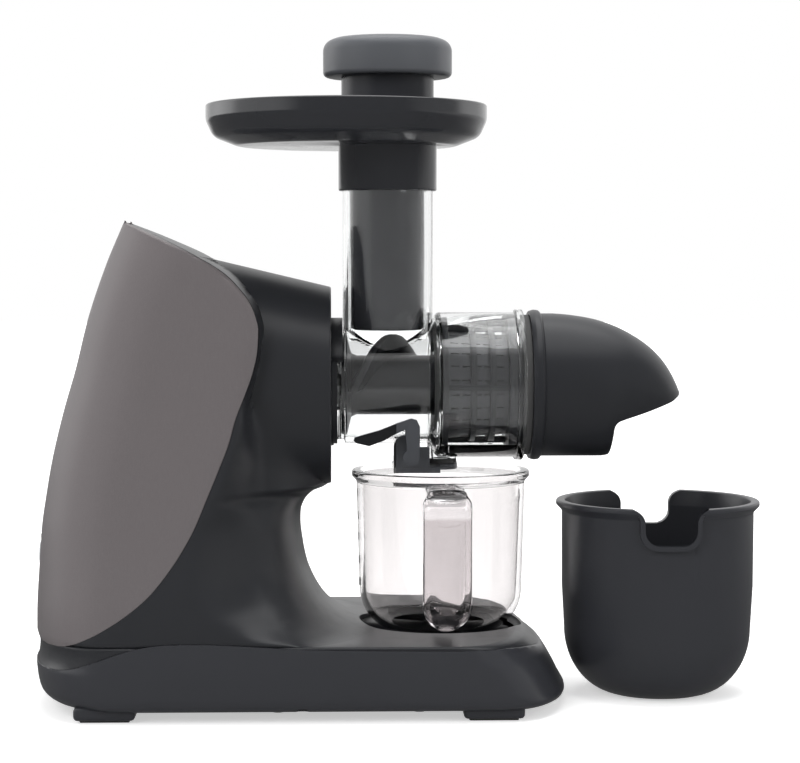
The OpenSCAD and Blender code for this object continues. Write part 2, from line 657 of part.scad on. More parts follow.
// ---- juicing bowl and strainer ----
module juicing_bowl() {
    color(clear) difference() {
        union() {
            spin_x([[0, -36.8], [30, -36.8], [30, -30.9], [bowl_r, -30.4], [bowl_r, 15.6], [bowl_r + 1.6, 17],
                [bowl_big_r - 1.6, 18.8], [bowl_big_r, 20.4], [bowl_big_r, 60], [bowl_big_r + 1.6, 60.4],
                [bowl_big_r + 1.6, 64.6], [bowl_big_r - 1.4, 65], [0, 65]]);
            translate([chute_x, 0, axis_z]) cylinder(r = chute_r, h = 132.6);
            translate([23, 0, spout_z]) cylinder(r = 8, h = 12);
            for (y = [-14.4, 11])
                translate([1.6, y, spout_z - 0.8]) cube([7.4, 3.4, axis_z - bowl_r + 4.8 - spout_z]);
        }
        spin_x([[12.2, -40], [12.2, -33.4], [bowl_r - 3.2, -33.4], [bowl_r - 3.2, 15.8], [bowl_r - 1.6, 19],
            [bowl_big_r - 4.2, 21], [bowl_big_r - 2.7, 22], [bowl_big_r - 2.7, 70], [0, 70], [0, -40]]);
        translate([chute_x, 0, axis_z]) cylinder(r = chute_r - chute_wall, h = 140);
        translate([23, 0, spout_z - 11]) cylinder(r = 5, h = 20);
        translate([5, 20, pin_z]) rotate([90, 0, 0]) cylinder(r = 1.6, h = 40);
    }
}
module strainer_frame() {
    color(black) difference() {
        union() {
            tube_x(22.4, 25.4, bowl_big_r - 2.9, 28.6, axis_z);
            spin_x([[29.9, 37.8], [31.2, 37.8], [31.2, 40.9], [29.6, 40.9]]);
            spin_x([[29.1, 48.1], [31.2, 48.1], [31.2, 51.4], [28.8, 51.4]]);
            tube_x(58.2, 64.5, bowl_big_r - 2.9, 26.2, axis_z);
            tube_x(64.4, 70.2, 34, 26.2, axis_z);
            for (a = [0, 90, 180, 270]) along_x(25, axis_z) rotate([0, 0, a])
                translate([29, -1.5, 0]) cube([3.2, 3, 34]);
        }
        spin_x([[0, 20], [29.65, 20], [29.65, 25.5], [27.55, 58.1], [27.5, 58.3], [0, 58.3]]);
        for (a = [45 : 90 : 315]) along_x(22, axis_z) rotate([0, 0, a])
            translate([32.8, -6, 0]) cube([3, 12, 5]);
    }
}
module strainer_mesh() {
    color(steel) difference() {
        spin_x([[28.9, 22.6], [29.6, 22.6], [29.6, 25.5], [27.5, 58.1], [26.8, 58.1]]);
        for (i = [0 : 4]) for (a = [7.5 : 15 : 352.5]) along_x(27 + i * 6, axis_z)
            rotate([0, 0, a]) translate([24, -0.4, 0]) cube([8, 0.8, 4.4]);
    }
}
module strainer_seal() {
    color(black) spin_x([[bowl_r - 1.2, 19.4], [bowl_big_r - 4.7, 21.05], [bowl_big_r - 4.3, 21.5],
        [bowl_big_r - 4.3, 22.3], [bowl_r - 1.2, 22.3]]);
}
module drip_stop_pin() {
    color(steel) translate([5, 14.6, pin_z]) rotate([90, 0, 0]) cylinder(r = 1.58, h = 44.6);
}

// ---- auger ----
// Flight radius, core radius and turn angle against the distance along the drum line
flight_t = [[-32, auger_r], [18, auger_r], [23, auger_r - 0.1], [57.5, 25.8], [64, 25.4]];
core_t = [[-32, 16.3], [20, 16.3], [24, 17], [57, 21.5], [64, 22]];
function turn(x) = x < 20 ? -(x + 4.4) * 360 / auger_pitch
    : -(24.4) * 360 / auger_pitch - (x - 20) * 360 / 34 - (x - 20) * (x - 20) * 0.06;
function flight_ring(x, w0, w1) =
    let(r0 = curve(core_t, x) - 2, r1 = curve(flight_t, x), a = turn(x))
    [for (q = [[r0, -w0], [r0, w0], [r1, w1], [r1, -w1]]) [x + q[1], -q[0] * sin(a), q[0] * cos(a)]];
module auger_screw() {
    xs = [for (x = [-26 : 4 : 18]) x, for (x = [20 : 1.95 : 59]) x];
    color(charcoal) difference() {
        resize([0, 0, 0]) union() {
            translate([0, 0, axis_z])
                skin([for (x = xs) flight_ring(x, x < 20 ? 5.5 : 3.2, x < 20 ? 2.4 : 1.5)]);
            translate([0, 0, axis_z]) rotate([0, 90, 0]) rotate_extrude($fn = 48) polygon([[0, -32.6],
                [26, -32.6], [27.6, -31.6], [27.6, -29.4], [17.6, -27], [16.3, -25], [16.3, 20], [17, 24],
                [21.5, 57], [22, 62], [20, 65.4], [0, 65.4]]);
        }
        hex_x(-34, -12, 12.02, axis_z);
        rod_x(55, 70, 5.02, axis_z);
    }
}
module auger_drive_shaft() {
    color(steel) hex_x(-49.6, -12.2, 12, axis_z);
}
module auger_nose_pin() {
    color(steel) rod_x(55.2, 74, 5, axis_z);
}

// ---- pulp hood ----
// Half outline of the hood: a straight start of radius r from x0 to x1, then a rounded nose that ends at x2
function hood_line(r, x0, x1, x2) = concat([[0, x0], [r, x0]],
    [for (i = [0 : 21]) let(a = 90 * i / 22)
        [r * pow(cos(a), 2 / 1.95), x1 + (x2 - x1) * pow(sin(a), 2 / 1.95)]], [[0, x2]]);
module pulp_hood() {
    color(charcoal) difference() {
        union() {
            spin_x([[0, 70.7], [40.3, 70.7], [41.2, 71.5], [41.5, 73.4], [41.3, 75.4], [40.4, 76.9],
                [39.4, 77.5], [0, 77.5]]);
            spin_x(hood_line(39.4, 76, 84, 154.2));
            intersection() {
                rod_x(78, 113.8, 39, axis_z);
                translate([70, -50, 120]) cube([60, 100, 43]);
            }
        }
        spin_x(hood_line(36.8, 60, 84, 151.5));
        intersection() {
            rod_x(75, 111.2, 36.4, axis_z);
            translate([70, -50, 120]) cube([60, 100, 42]);
        }
        translate([0, 60, 0]) rotate([90, 0, 0]) linear_extrude(120) polygon([[114.2, 100], [114.2, 142],
            [116, 147.6], [119, 150.6], [133, 156], [149.8, 163.8], [156, 168.6], [170, 170], [170, 100]]);
    }
    color(charcoal) difference() {
        union() {
            for (a = [90, 210, 330]) along_x(70.8, axis_z) rotate([0, 0, a])
                translate([8.6, -1.6, 0]) cube([29, 3.2, 5]);
            rod_x(70.8, 75.8, 10, axis_z);
        }
        rod_x(60, 90, 7.02, axis_z);
    }
}
module hood_seal() {
    color(black) tube_x(65.7, 70.65, bowl_big_r - 1.4, 34.6, axis_z);
}
module nose_bearing() {
    color(white) tube_x(70.8, 75.8, 7, 5.06, axis_z);
}

// ---- feed tray and pusher ----
module feed_tray() {
    tx = -29.4;
    color(black) difference() {
        union() {
            translate([tx, 0, 302.5]) rotate_extrude() polygon([[0, 0], [tray_r - 15, 0], [tray_r - 9, 1.6],
                [tray_r - 4, 5], [tray_r - 1.2, 10], [tray_r, 17], [tray_r, tray_top - 303.4],
                [tray_r - 0.9, tray_top - 302.5], [0, tray_top - 302.5]]);
            translate([chute_x, 0, 278]) cylinder(r = 27, h = 26);
        }
        translate([tx, 0, 305.6]) rotate_extrude() polygon([[0, 0], [tray_r - 17, 0], [tray_r - 11, 1.6],
            [tray_r - 7, 4.6], [tray_r - 4.2, 9], [tray_r - 3, 15], [tray_r - 3, 40], [0, 40]]);
        translate([chute_x, 0, 270]) cylinder(r = chute_r + 0.4, h = 34.4);
        translate([chute_x, 0, 290]) cylinder(r = 21.9, h = 40);
    }
}
module pusher_stem() {
    color(charcoal) difference() {
        union() {
            translate([chute_x, 0, 201.8]) cylinder(r1 = stem_r - 0.5, r2 = stem_r, h = 104.5);
            translate([chute_x, 0, 305.7]) cylinder(r = 25.3, h = 34.2);
        }
        translate([chute_x, 0, 204.6]) cylinder(r = stem_r - 3.2, h = 140);
        translate([chute_x, 0, 309]) cylinder(r = 22.6, h = 40);
    }
}
module pusher_cap() {
    color(charcoal) translate([chute_x, 0, 340]) difference() {
        rotate_extrude() polygon([[0, 0], [cap_r - 2.6, 0], [cap_r - 0.8, 1.2], [cap_r, 3.4], [cap_r, 12.5],
            [cap_r - 0.8, 16], [cap_r - 2.8, 18.8], [cap_r - 5.4, 20.6], [cap_r - 8.6, 21.3],
            [cap_r - 12, 20.6], [14, 18.6], [0, 18]]);
        translate([0, 0, -1]) cylinder(r = 22, h = 12);
    }
}

// ---- drip stop under the juice nozzle ----
// Lever on a pin: a foot that carries the plug, a cheek in front of the pin lug and a finger arm in front
module drip_stop_lever() {
    foot_z = spout_z - 5.8;
    color(charcoal) difference() {
        union() {
            translate([5, 10.7, pin_z]) rotate([90, 0, 0]) cylinder(r = 4.4, h = 21.4);
            translate([-3.4, -10.6, foot_z]) cube([8.6, 21.2, 6]);
            translate([-4.2, -28.9, foot_z]) cube([25.2, 39.5, 3]);
            translate([21, 0, foot_z]) cylinder(r = 10.6, h = 3);
            translate([0, -23, 0]) rotate([90, 0, 0]) linear_extrude(6) {
                hull() {
                    translate([2, pin_z + 5]) circle(r = 6.2);
                    translate([-4.2, foot_z]) square([10.4, 1.5]);
                }
                translate([4, foot_z]) square([11.2, pin_z + 4.6 - foot_z]);
            }
            translate([5, -18, pin_z]) rotate([90, 0, 0]) cylinder(r = 4.4, h = 20);
            translate([0, -33, pin_z - 134.4]) rotate([90, 0, 0]) linear_extrude(5) polygon([[3.4, 131.4],
                [8, 131.4], [9.6, 134], [9.6, 151], [8, 154.4], [5, 155.2], [-4, 152.2], [-12, 149], [-20, 146.8],
                [-25.4, 145.2], [-26, 143.6], [-24.6, 142.2], [-17.6, 140.6], [-10, 143.4], [-4, 146.8],
                [1.6, 149.4]]);
        }
        translate([5, 20, pin_z]) rotate([90, 0, 0]) cylinder(r = 1.65, h = 51);
    }
}
module drip_stop_plug() {
    color(black) translate([23, 0, spout_z - 2.75]) cylinder(r = 8.2, h = 2.5);
}

// ---- jug and cup ----
module juice_jug() {
    z0 = deck_z - dish_d + 0.12;
    h = jug_top - z0;
    color(clear) difference() {
        union() {
            translate([jug_x, 0, z0]) rotate_extrude() polygon(concat([[0, 0]],
                [for (i = [0 : 12]) let(a = 90 * i / 12) [jug_r - 26.4 + 24 * sin(a), 24 - 24 * cos(a)]],
                [[jug_r, h - 6], [jug_r + 1, h - 4.6], [jug_r + 2.4, h - 3.6], [jug_r + 2.5, h - 1.4],
                [jug_r + 1.4, h], [0, h]]));
            jug_handle();
        }
        translate([jug_x, 0, z0 + jug_wall]) rotate_extrude() polygon(concat([[0, 0]],
            [for (i = [0 : 12]) let(a = 90 * i / 12)
                    [jug_r - 26.4 + (24 - jug_wall) * sin(a), (24 - jug_wall) * (1 - cos(a))]],
            [[jug_r - jug_wall, h - 8], [jug_r - jug_wall + 0.4, h], [0, h]]));
    }
}
// Strap handle in front of the jug: an upright loop with a round lower end
module jug_handle() {
    intersection() {
        translate([jug_x - 12.5, 0, 0]) rotate([90, 0, 90]) linear_extrude(25) difference() {
            hull() {
                translate([-72, 111]) circle(r = 10);
                translate([-66, 60.6]) circle(r = 16);
                translate([-34, 46]) square([2, 75]);
            }
            hull() {
                translate([-70.6, 109.6]) circle(r = 5.6);
                translate([-65, 65]) circle(r = 11.2);
                translate([-34, 53.8]) square([2, 61.4]);
            }
        }
        translate([jug_x, 0, 0]) rotate([90, 0, 0]) linear_extrude(100) union() {
            translate([0, 57.1]) circle(r = 12.5);
            translate([-12.5, 57.1]) square([25, 65.3]);
        }
    }
}
// Outline of the U notch from the cup's rim down; the corners open out towards the rim
notch_pts = [[-21, 60], [-27, 20], [-21, 6], [-18, 1], [-15.4, -10], [-13.6, -15], [-9, -19.5],
    [9, -19.5], [13.6, -15], [15.4, -10], [18, 1], [21, 6], [27, 20], [21, 60]];
module pulp_cup() {
    color(charcoal) difference() {
        union() {
            translate([cup_x, 0, 0]) rotate_extrude() polygon(concat([[0, 0]],
                [for (i = [0 : 12]) let(a = 90 * i / 12) [cup_r - 1.5 - 30 + 30 * sin(a), 36 - 36 * cos(a)]],
                [[cup_r, cup_top - 6], [cup_r + 0.8, cup_top - 3.4], [cup_r + 2.9, cup_top - 2.2],
                [cup_r + 3.2, cup_top - 0.8], [cup_r + 2.6, cup_top], [0, cup_top]]));
            intersection() {
                translate([cup_x, 0, 20]) rotate_extrude() polygon([[40, 0], [cup_r + 3, 0],
                    [cup_r + 3, cup_top - 20.5], [40, cup_top - 20.5]]);
                translate([cup_x, 100, cup_top]) rotate([90, 0, 0]) linear_extrude(200) intersection() {
                    offset(r = 3) polygon(notch_pts);
                    translate([-60, -60]) square([120, 59.5]);
                }
            }
        }
        translate([cup_x, 0, cup_wall]) rotate_extrude() polygon(concat([[0, 0]],
            [for (i = [0 : 12]) let(a = 90 * i / 12)
                [cup_r - 1.5 - 30 + (30 - cup_wall) * sin(a), (36 - cup_wall) * (1 - cos(a))]],
            [[cup_r - cup_wall, cup_top - 9], [cup_r - cup_wall + 1, cup_top], [0, cup_top]]));
        translate([cup_x, 100, cup_top]) rotate([90, 0, 0]) linear_extrude(200) polygon(notch_pts);
    }
}

main_housing();
lower_base();
side_panel();
bottom_plate();
foot_pads();
base_screws();
lock_ring();
shaft_seal();
motor_can();
motor_magnets();
motor_end_plate();
motor_bearings();
brush_holders();
carbon_brushes();
gearbox_case();
gearbox_cover();
gearbox_screws();
gear_bearings();
control_bezel();
control_board();
indicator_lights();
button_springs();
power_board();
inlet_gland();
start_button();
reverse_button();
motor_shaft();
rotor_core();
rotor_windings();
commutator();
cooling_fan();
motor_pinion();
layshaft();
layshaft_wheel();
layshaft_pinion();
output_shaft();
output_wheel();
drive_coupling();
juicing_bowl();
strainer_frame();
strainer_mesh();
strainer_seal();
drip_stop_pin();
auger_screw();
auger_drive_shaft();
auger_nose_pin();
pulp_hood();
hood_seal();
nose_bearing();
feed_tray();
pusher_stem();
pusher_cap();
drip_stop_lever();
drip_stop_plug();
juice_jug();
pulp_cup();
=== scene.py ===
"""Dresses a horizontal slow juicer: finishes for every part and fine meshes for the parts that show most.

Lengths in the classes are millimetres in the row frame: +X from the motor end to the pulp end, +Y from the
front to the back, +Z up from the floor. Meshes are made in metres.
"""
from __future__ import annotations

import logging
import math
import sys
from dataclasses import dataclass, field
from enum import Enum
from typing import Callable, Iterable, Sequence

import bpy
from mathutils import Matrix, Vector

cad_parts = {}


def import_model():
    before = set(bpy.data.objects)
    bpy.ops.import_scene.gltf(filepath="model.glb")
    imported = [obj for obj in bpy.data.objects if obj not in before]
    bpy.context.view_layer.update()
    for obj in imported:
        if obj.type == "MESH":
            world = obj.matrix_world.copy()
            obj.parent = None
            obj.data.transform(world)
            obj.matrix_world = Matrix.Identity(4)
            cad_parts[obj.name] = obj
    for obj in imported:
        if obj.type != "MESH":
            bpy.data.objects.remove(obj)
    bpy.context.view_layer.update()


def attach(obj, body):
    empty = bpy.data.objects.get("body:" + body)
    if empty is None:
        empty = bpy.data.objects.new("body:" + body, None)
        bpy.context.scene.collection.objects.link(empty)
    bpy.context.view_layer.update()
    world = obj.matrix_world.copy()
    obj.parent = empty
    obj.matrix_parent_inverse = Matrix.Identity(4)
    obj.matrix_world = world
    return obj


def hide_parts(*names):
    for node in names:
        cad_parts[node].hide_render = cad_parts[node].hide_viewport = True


LOG = logging.getLogger("juicer")
MM = 0.001
Point = tuple[float, float]
Table = tuple[Point, ...]


class Turn(Enum):
    """The line that a turned piece is spun about."""

    UPRIGHT = (0.0, 0.0, 1.0)
    DRUM = (1.0, 0.0, 0.0)


class Cut(Enum):
    """How two solids are joined by the boolean modifier."""

    ADD = "UNION"
    TAKE = "DIFFERENCE"
    KEEP = "INTERSECT"


# ---------------------------------------------------------------- curves


def clamp(value: float, low: float = 0.0, high: float = 1.0) -> float:
    """Returns value held between low and high."""
    return max(low, min(high, value))


def ease(value: float) -> float:
    """Returns a smooth step from 0 to 1."""
    u = clamp(value)
    return u * u * (3 - 2 * u)


def curve(table: Table, x: float) -> float:
    """Reads a monotone cubic curve through a table.

    Args:
        table: Position and value pairs in rising order of position.
        x: Where the curve is read; past either end it stays level.
    Returns:
        The value of the curve at x.
    """
    last = len(table) - 2
    i = 0
    while i < last and x > table[i + 1][0]:
        i += 1
    rise = [(b[1] - a[1]) / (b[0] - a[0]) for a, b in zip(table[max(i - 1, 0):i + 2], table[max(i - 1, 0) + 1:i + 3])]
    here = rise[1] if i > 0 else rise[0]

    def slope(before: float | None, after: float | None) -> float:
        """Tangent at a table point from the slopes on both sides of it."""
        if before is None or after is None:
            return after if before is None else before
        return 0.0 if before * after <= 0 else 2 * before * after / (before + after)

    start = slope(rise[0] if i > 0 else None, here)
    end = slope(here, rise[-1] if i < last else None)
    step = table[i + 1][0] - table[i][0]
    u = clamp((x - table[i][0]) / step)
    return (
        (2 * u**3 - 3 * u**2 + 1) * table[i][1]
        + (u**3 - 2 * u**2 + u) * step * start
        + (3 * u**2 - 2 * u**3) * table[i + 1][1]
        + (u**3 - u**2) * step * end
    )


def shoulder(depth: float, radius: float, power: float) -> float:
    """Returns the share of full width at a depth behind a rounded end."""
    if depth <= 0:
        return 0.0
    if depth >= radius:
        return 1.0
    return (1 - (1 - depth / radius) ** power) ** (1 / power)


def rounded(corners: Sequence[tuple[float, ...]], steps: int = 6) -> list[Point]:
    """Rounds the corners of an outline.

    Args:
        corners: Points as (a, b) or (a, b, radius of the corner).
        steps: Steps in each round.
    Returns:
        The outline's points in order.
    """
    line: list[Point] = []
    for i, corner in enumerate(corners):
        here = Vector(corner[:2])
        radius = corner[2] if len(corner) > 2 else 0.0
        if radius <= 0 or i in (0, len(corners) - 1):
            line.append((here.x, here.y))
            continue
        back = (Vector(corners[i - 1][:2]) - here).normalized()
        ahead = (Vector(corners[i + 1][:2]) - here).normalized()
        half = back.angle(ahead) / 2
        reach = radius / math.tan(half)
        centre = here + (back + ahead).normalized() * (radius / math.sin(half))
        first = here + back * reach - centre
        last = here + ahead * reach - centre
        turn = math.copysign(math.pi - 2 * half, first.x * last.y - first.y * last.x)
        for k in range(steps + 1):
            a = turn * k / steps
            line.append((
                centre.x + first.x * math.cos(a) - first.y * math.sin(a),
                centre.y + first.x * math.sin(a) + first.y * math.cos(a),
            ))
    return line


# ---------------------------------------------------------------- bench: modelling by operators


def deselect() -> None:
    """Leaves edit mode and deselects everything."""
    if bpy.context.object and bpy.context.object.mode != "OBJECT":
        bpy.ops.object.mode_set(mode="OBJECT")
    bpy.ops.object.select_all(action="DESELECT")


def pick(piece: bpy.types.Object) -> None:
    """Makes piece the only selected and the active object."""
    deselect()
    piece.select_set(True)
    bpy.context.view_layer.objects.active = piece


def settle(piece: bpy.types.Object, name: str, angle: float = 35.0) -> bpy.types.Object:
    """Names a piece, puts its place into its mesh and shades it.

    Args:
        piece: The object to finish.
        name: Its name.
        angle: Edges flatter than this angle in degrees are shaded smooth.
    Returns:
        The piece.
    """
    pick(piece)
    piece.name = name
    piece.data.name = name
    bpy.ops.object.transform_apply(location=True, rotation=True, scale=True)
    bpy.ops.object.shade_smooth_by_angle(angle=math.radians(angle))
    return piece


def close_up(piece: bpy.types.Object, gap: float = 0.002) -> None:
    """Merges doubled points of a piece and turns its faces outwards.

    Args:
        piece: The object to mend.
        gap: Points closer than this many millimetres become one.
    """
    pick(piece)
    bpy.ops.object.mode_set(mode="EDIT")
    bpy.ops.mesh.select_all(action="SELECT")
    bpy.ops.mesh.remove_doubles(threshold=gap * MM)
    bpy.ops.mesh.normals_make_consistent(inside=False)
    bpy.ops.object.mode_set(mode="OBJECT")


def turned(outline: Sequence[Point], at: tuple[float, float, float], about: Turn = Turn.UPRIGHT,
           steps: int = 96) -> bpy.types.Object:
    """Turns a piece on the lathe: one point is extruded along the outline and spun.

    Args:
        outline: (radius, distance along the line) points; a ring repeats its first point at the end.
        at: A point of the line that it is spun about.
        about: Direction of that line.
        steps: Steps in the full turn.
    Returns:
        The closed, turned object.
    """
    def place(p: Point) -> Vector:
        """A point of the outline in space."""
        offset = Vector((p[1], 0, p[0])) if about is Turn.DRUM else Vector((p[0], 0, p[1]))
        return (Vector(at) + offset) * MM

    deselect()
    bpy.ops.mesh.primitive_plane_add(size=0.001)
    piece = bpy.context.object
    bpy.ops.object.mode_set(mode="EDIT")
    bpy.ops.mesh.select_all(action="SELECT")
    bpy.ops.mesh.merge(type="CENTER")
    bpy.ops.transform.translate(value=place(outline[0]))
    for a, b in zip(outline, outline[1:]):
        bpy.ops.mesh.extrude_vertices_move(TRANSFORM_OT_translate={"value": place(b) - place(a)})
    bpy.ops.mesh.select_all(action="SELECT")
    bpy.ops.mesh.spin(steps=steps, angle=math.tau, center=Vector(at) * MM, axis=about.value)
    bpy.ops.object.mode_set(mode="OBJECT")
    close_up(piece)
    return piece


def block(low: Sequence[float], high: Sequence[float], bevel: float = 0.0, steps: int = 3) -> bpy.types.Object:
    """Adds a block between two corners and bevels its edges.

    Args:
        low: Lowest corner.
        high: Highest corner.
        bevel: Width of the bevel on every edge.
        steps: Segments of the bevel.
    Returns:
        The block.
    """
    deselect()
    centre = [(a + b) / 2 * MM for a, b in zip(low, high)]
    bpy.ops.mesh.primitive_cube_add(size=1, location=centre)
    piece = bpy.context.object
    piece.scale = [(b - a) * MM for a, b in zip(low, high)]
    bpy.ops.object.transform_apply(location=True, rotation=True, scale=True)
    if bevel > 0:
        bpy.ops.object.mode_set(mode="EDIT")
        bpy.ops.mesh.select_all(action="SELECT")
        bpy.ops.mesh.bevel(offset=bevel * MM, segments=steps, affect="EDGES")
        bpy.ops.object.mode_set(mode="OBJECT")
    return piece


def extruded(outline: Sequence[Point], across: tuple[float, float], lie: Callable[[float, float, float], Sequence[float]]
             ) -> bpy.types.Object:
    """Extrudes a flat outline.

    Args:
        outline: Points of the closed outline.
        across: Where the extrusion starts and ends.
        lie: Turns (a, b, distance) into a point of the row frame.
    Returns:
        The closed prism.
    """
    count = len(outline)
    points = [Vector(lie(a, b, across[0])) * MM for a, b in outline]
    mesh = bpy.data.meshes.new("outline")
    mesh.from_pydata(points, [], [tuple(range(count))])
    piece = bpy.data.objects.new("outline", mesh)
    bpy.context.scene.collection.objects.link(piece)
    pick(piece)
    bpy.ops.object.mode_set(mode="EDIT")
    bpy.ops.mesh.select_all(action="SELECT")
    step = (Vector(lie(0, 0, across[1])) - Vector(lie(0, 0, across[0]))) * MM
    bpy.ops.mesh.extrude_region_move(TRANSFORM_OT_translate={"value": step})
    bpy.ops.mesh.select_all(action="SELECT")
    bpy.ops.mesh.normals_make_consistent(inside=False)
    bpy.ops.object.mode_set(mode="OBJECT")
    return piece


def side_on(a: float, b: float, d: float) -> Sequence[float]:
    """Lays an outline of (x, z) points in the side view; d runs along Y."""
    return (a, d, b)


def end_on(a: float, b: float, d: float) -> Sequence[float]:
    """Lays an outline of (y, z) points in the end view; d runs along X."""
    return (d, a, b)


def plan_on(a: float, b: float, d: float) -> Sequence[float]:
    """Lays an outline of (x, y) points in plan; d runs along Z."""
    return (a, b, d)


def carve(piece: bpy.types.Object, tool: bpy.types.Object, how: Cut) -> bpy.types.Object:
    """Joins a solid and a tool solid by a boolean and removes the tool.

    Args:
        piece: The solid that stays.
        tool: The solid that is used up.
        how: Whether the tool is added, taken away or kept in common.
    Returns:
        The piece.
    """
    pick(piece)
    step = piece.modifiers.new("carve", "BOOLEAN")
    step.operation = how.value
    step.object = tool
    step.solver = "EXACT"
    bpy.ops.object.modifier_apply(modifier=step.name)
    bpy.data.objects.remove(tool)
    return piece


def soften(piece: bpy.types.Object, width: float, steps: int = 2, angle: float = 38.0) -> bpy.types.Object:
    """Bevels the sharp edges of a piece.

    Args:
        piece: The piece.
        width: Width of the bevel.
        steps: Its segments.
        angle: Edges sharper than this angle in degrees are bevelled.
    Returns:
        The piece.
    """
    pick(piece)
    step = piece.modifiers.new("soften", "BEVEL")
    step.width = width * MM
    step.segments = steps
    step.limit_method = "ANGLE"
    step.angle_limit = math.radians(angle)
    step.use_clamp_overlap = True
    bpy.ops.object.modifier_apply(modifier=step.name)
    return piece


def refined(node: str, name: str, width: float, steps: int = 2) -> bpy.types.Object:
    """Makes a merged copy of a CAD node with softened edges.

    Args:
        node: The CAD node.
        name: The copy's name.
        width: Width of the bevel on its sharp edges.
        steps: Segments of that bevel.
    Returns:
        The copy.
    """
    source = bpy.data.objects[node]
    piece = bpy.data.objects.new(name, source.data.copy())
    bpy.context.scene.collection.objects.link(piece)
    piece.data.materials.clear()
    pick(piece)
    bpy.ops.object.mode_set(mode="EDIT")
    bpy.ops.mesh.select_all(action="SELECT")
    bpy.ops.mesh.remove_doubles(threshold=0.00001)
    bpy.ops.mesh.dissolve_limited(angle_limit=math.radians(0.6))
    bpy.ops.object.mode_set(mode="OBJECT")
    if piece.data.has_custom_normals:
        bpy.ops.mesh.customdata_custom_splitnormals_clear()
    if width > 0:
        soften(piece, width, steps)
    return settle(piece, name)


def shell(rows: Sequence[Sequence[Sequence[float]]], closed: bool = True) -> bpy.types.Object:
    """Stretches a skin over rows of points.

    Args:
        rows: Rows that all hold the same number of points, in millimetres.
        closed: Whether each row is a closed ring with its ends capped.
    Returns:
        The object.
    """
    count = len(rows[0])
    points = [tuple(c * MM for c in p) for row in rows for p in row]
    faces: list[tuple[int, ...]] = []
    for j in range(len(rows) - 1):
        for i in range(count if closed else count - 1):
            k = (i + 1) % count
            faces.append((j * count + i, j * count + k, (j + 1) * count + k, (j + 1) * count + i))
    if closed:
        faces.append(tuple(reversed(range(count))))
        faces.append(tuple((len(rows) - 1) * count + i for i in range(count)))
    mesh = bpy.data.meshes.new("shell")
    mesh.from_pydata(points, [], faces)
    piece = bpy.data.objects.new("shell", mesh)
    bpy.context.scene.collection.objects.link(piece)
    return piece


# ---------------------------------------------------------------- shader expressions and finishes


def linear(colour: Sequence[int]) -> tuple[float, float, float, float]:
    """Returns an 8-bit display colour as linear light."""
    return (*[(c / 255 / 12.92) if c <= 10 else ((c / 255 + 0.055) / 1.055) ** 2.4 for c in colour], 1.0)


class Value:
    """A number inside a node tree; Python's operators add Math nodes."""

    def __init__(self, board: "Board", socket: bpy.types.NodeSocket) -> None:
        """Keeps the board and the output socket that holds the number."""
        self.board = board
        self.socket = socket

    def maths(self, kind: str, *others: object) -> "Value":
        """Adds one Math node.

        Args:
            kind: The node's operation.
            others: The operands: values, numbers, or self where it isn't first.
        Returns:
            The result.
        """
        operands = others if any(o is self for o in others) else (self, *others)
        return Value(self.board, self.board.add("Math", {"operation": kind}, dict(enumerate(operands))).outputs[0])

    def __add__(self, other: object) -> "Value":
        """Sum."""
        return self.maths("ADD", other)

    __radd__ = __add__

    def __mul__(self, other: object) -> "Value":
        """Product."""
        return self.maths("MULTIPLY", other)

    __rmul__ = __mul__

    def __sub__(self, other: object) -> "Value":
        """Difference."""
        return self.maths("SUBTRACT", other)

    def __rsub__(self, other: object) -> "Value":
        """Difference the other way round."""
        return self.maths("SUBTRACT", other, self)

    def __truediv__(self, other: object) -> "Value":
        """Quotient."""
        return self.maths("DIVIDE", other)

    def __pow__(self, other: object) -> "Value":
        """Power."""
        return self.maths("POWER", other)

    def step(self, low: float, high: float) -> "Value":
        """Returns a smooth step from 0 at low to 1 at high."""
        node = self.board.add("MapRange", {"interpolation_type": "SMOOTHSTEP"},
                              {"Value": self, "From Min": low, "From Max": high})
        return Value(self.board, node.outputs[0])


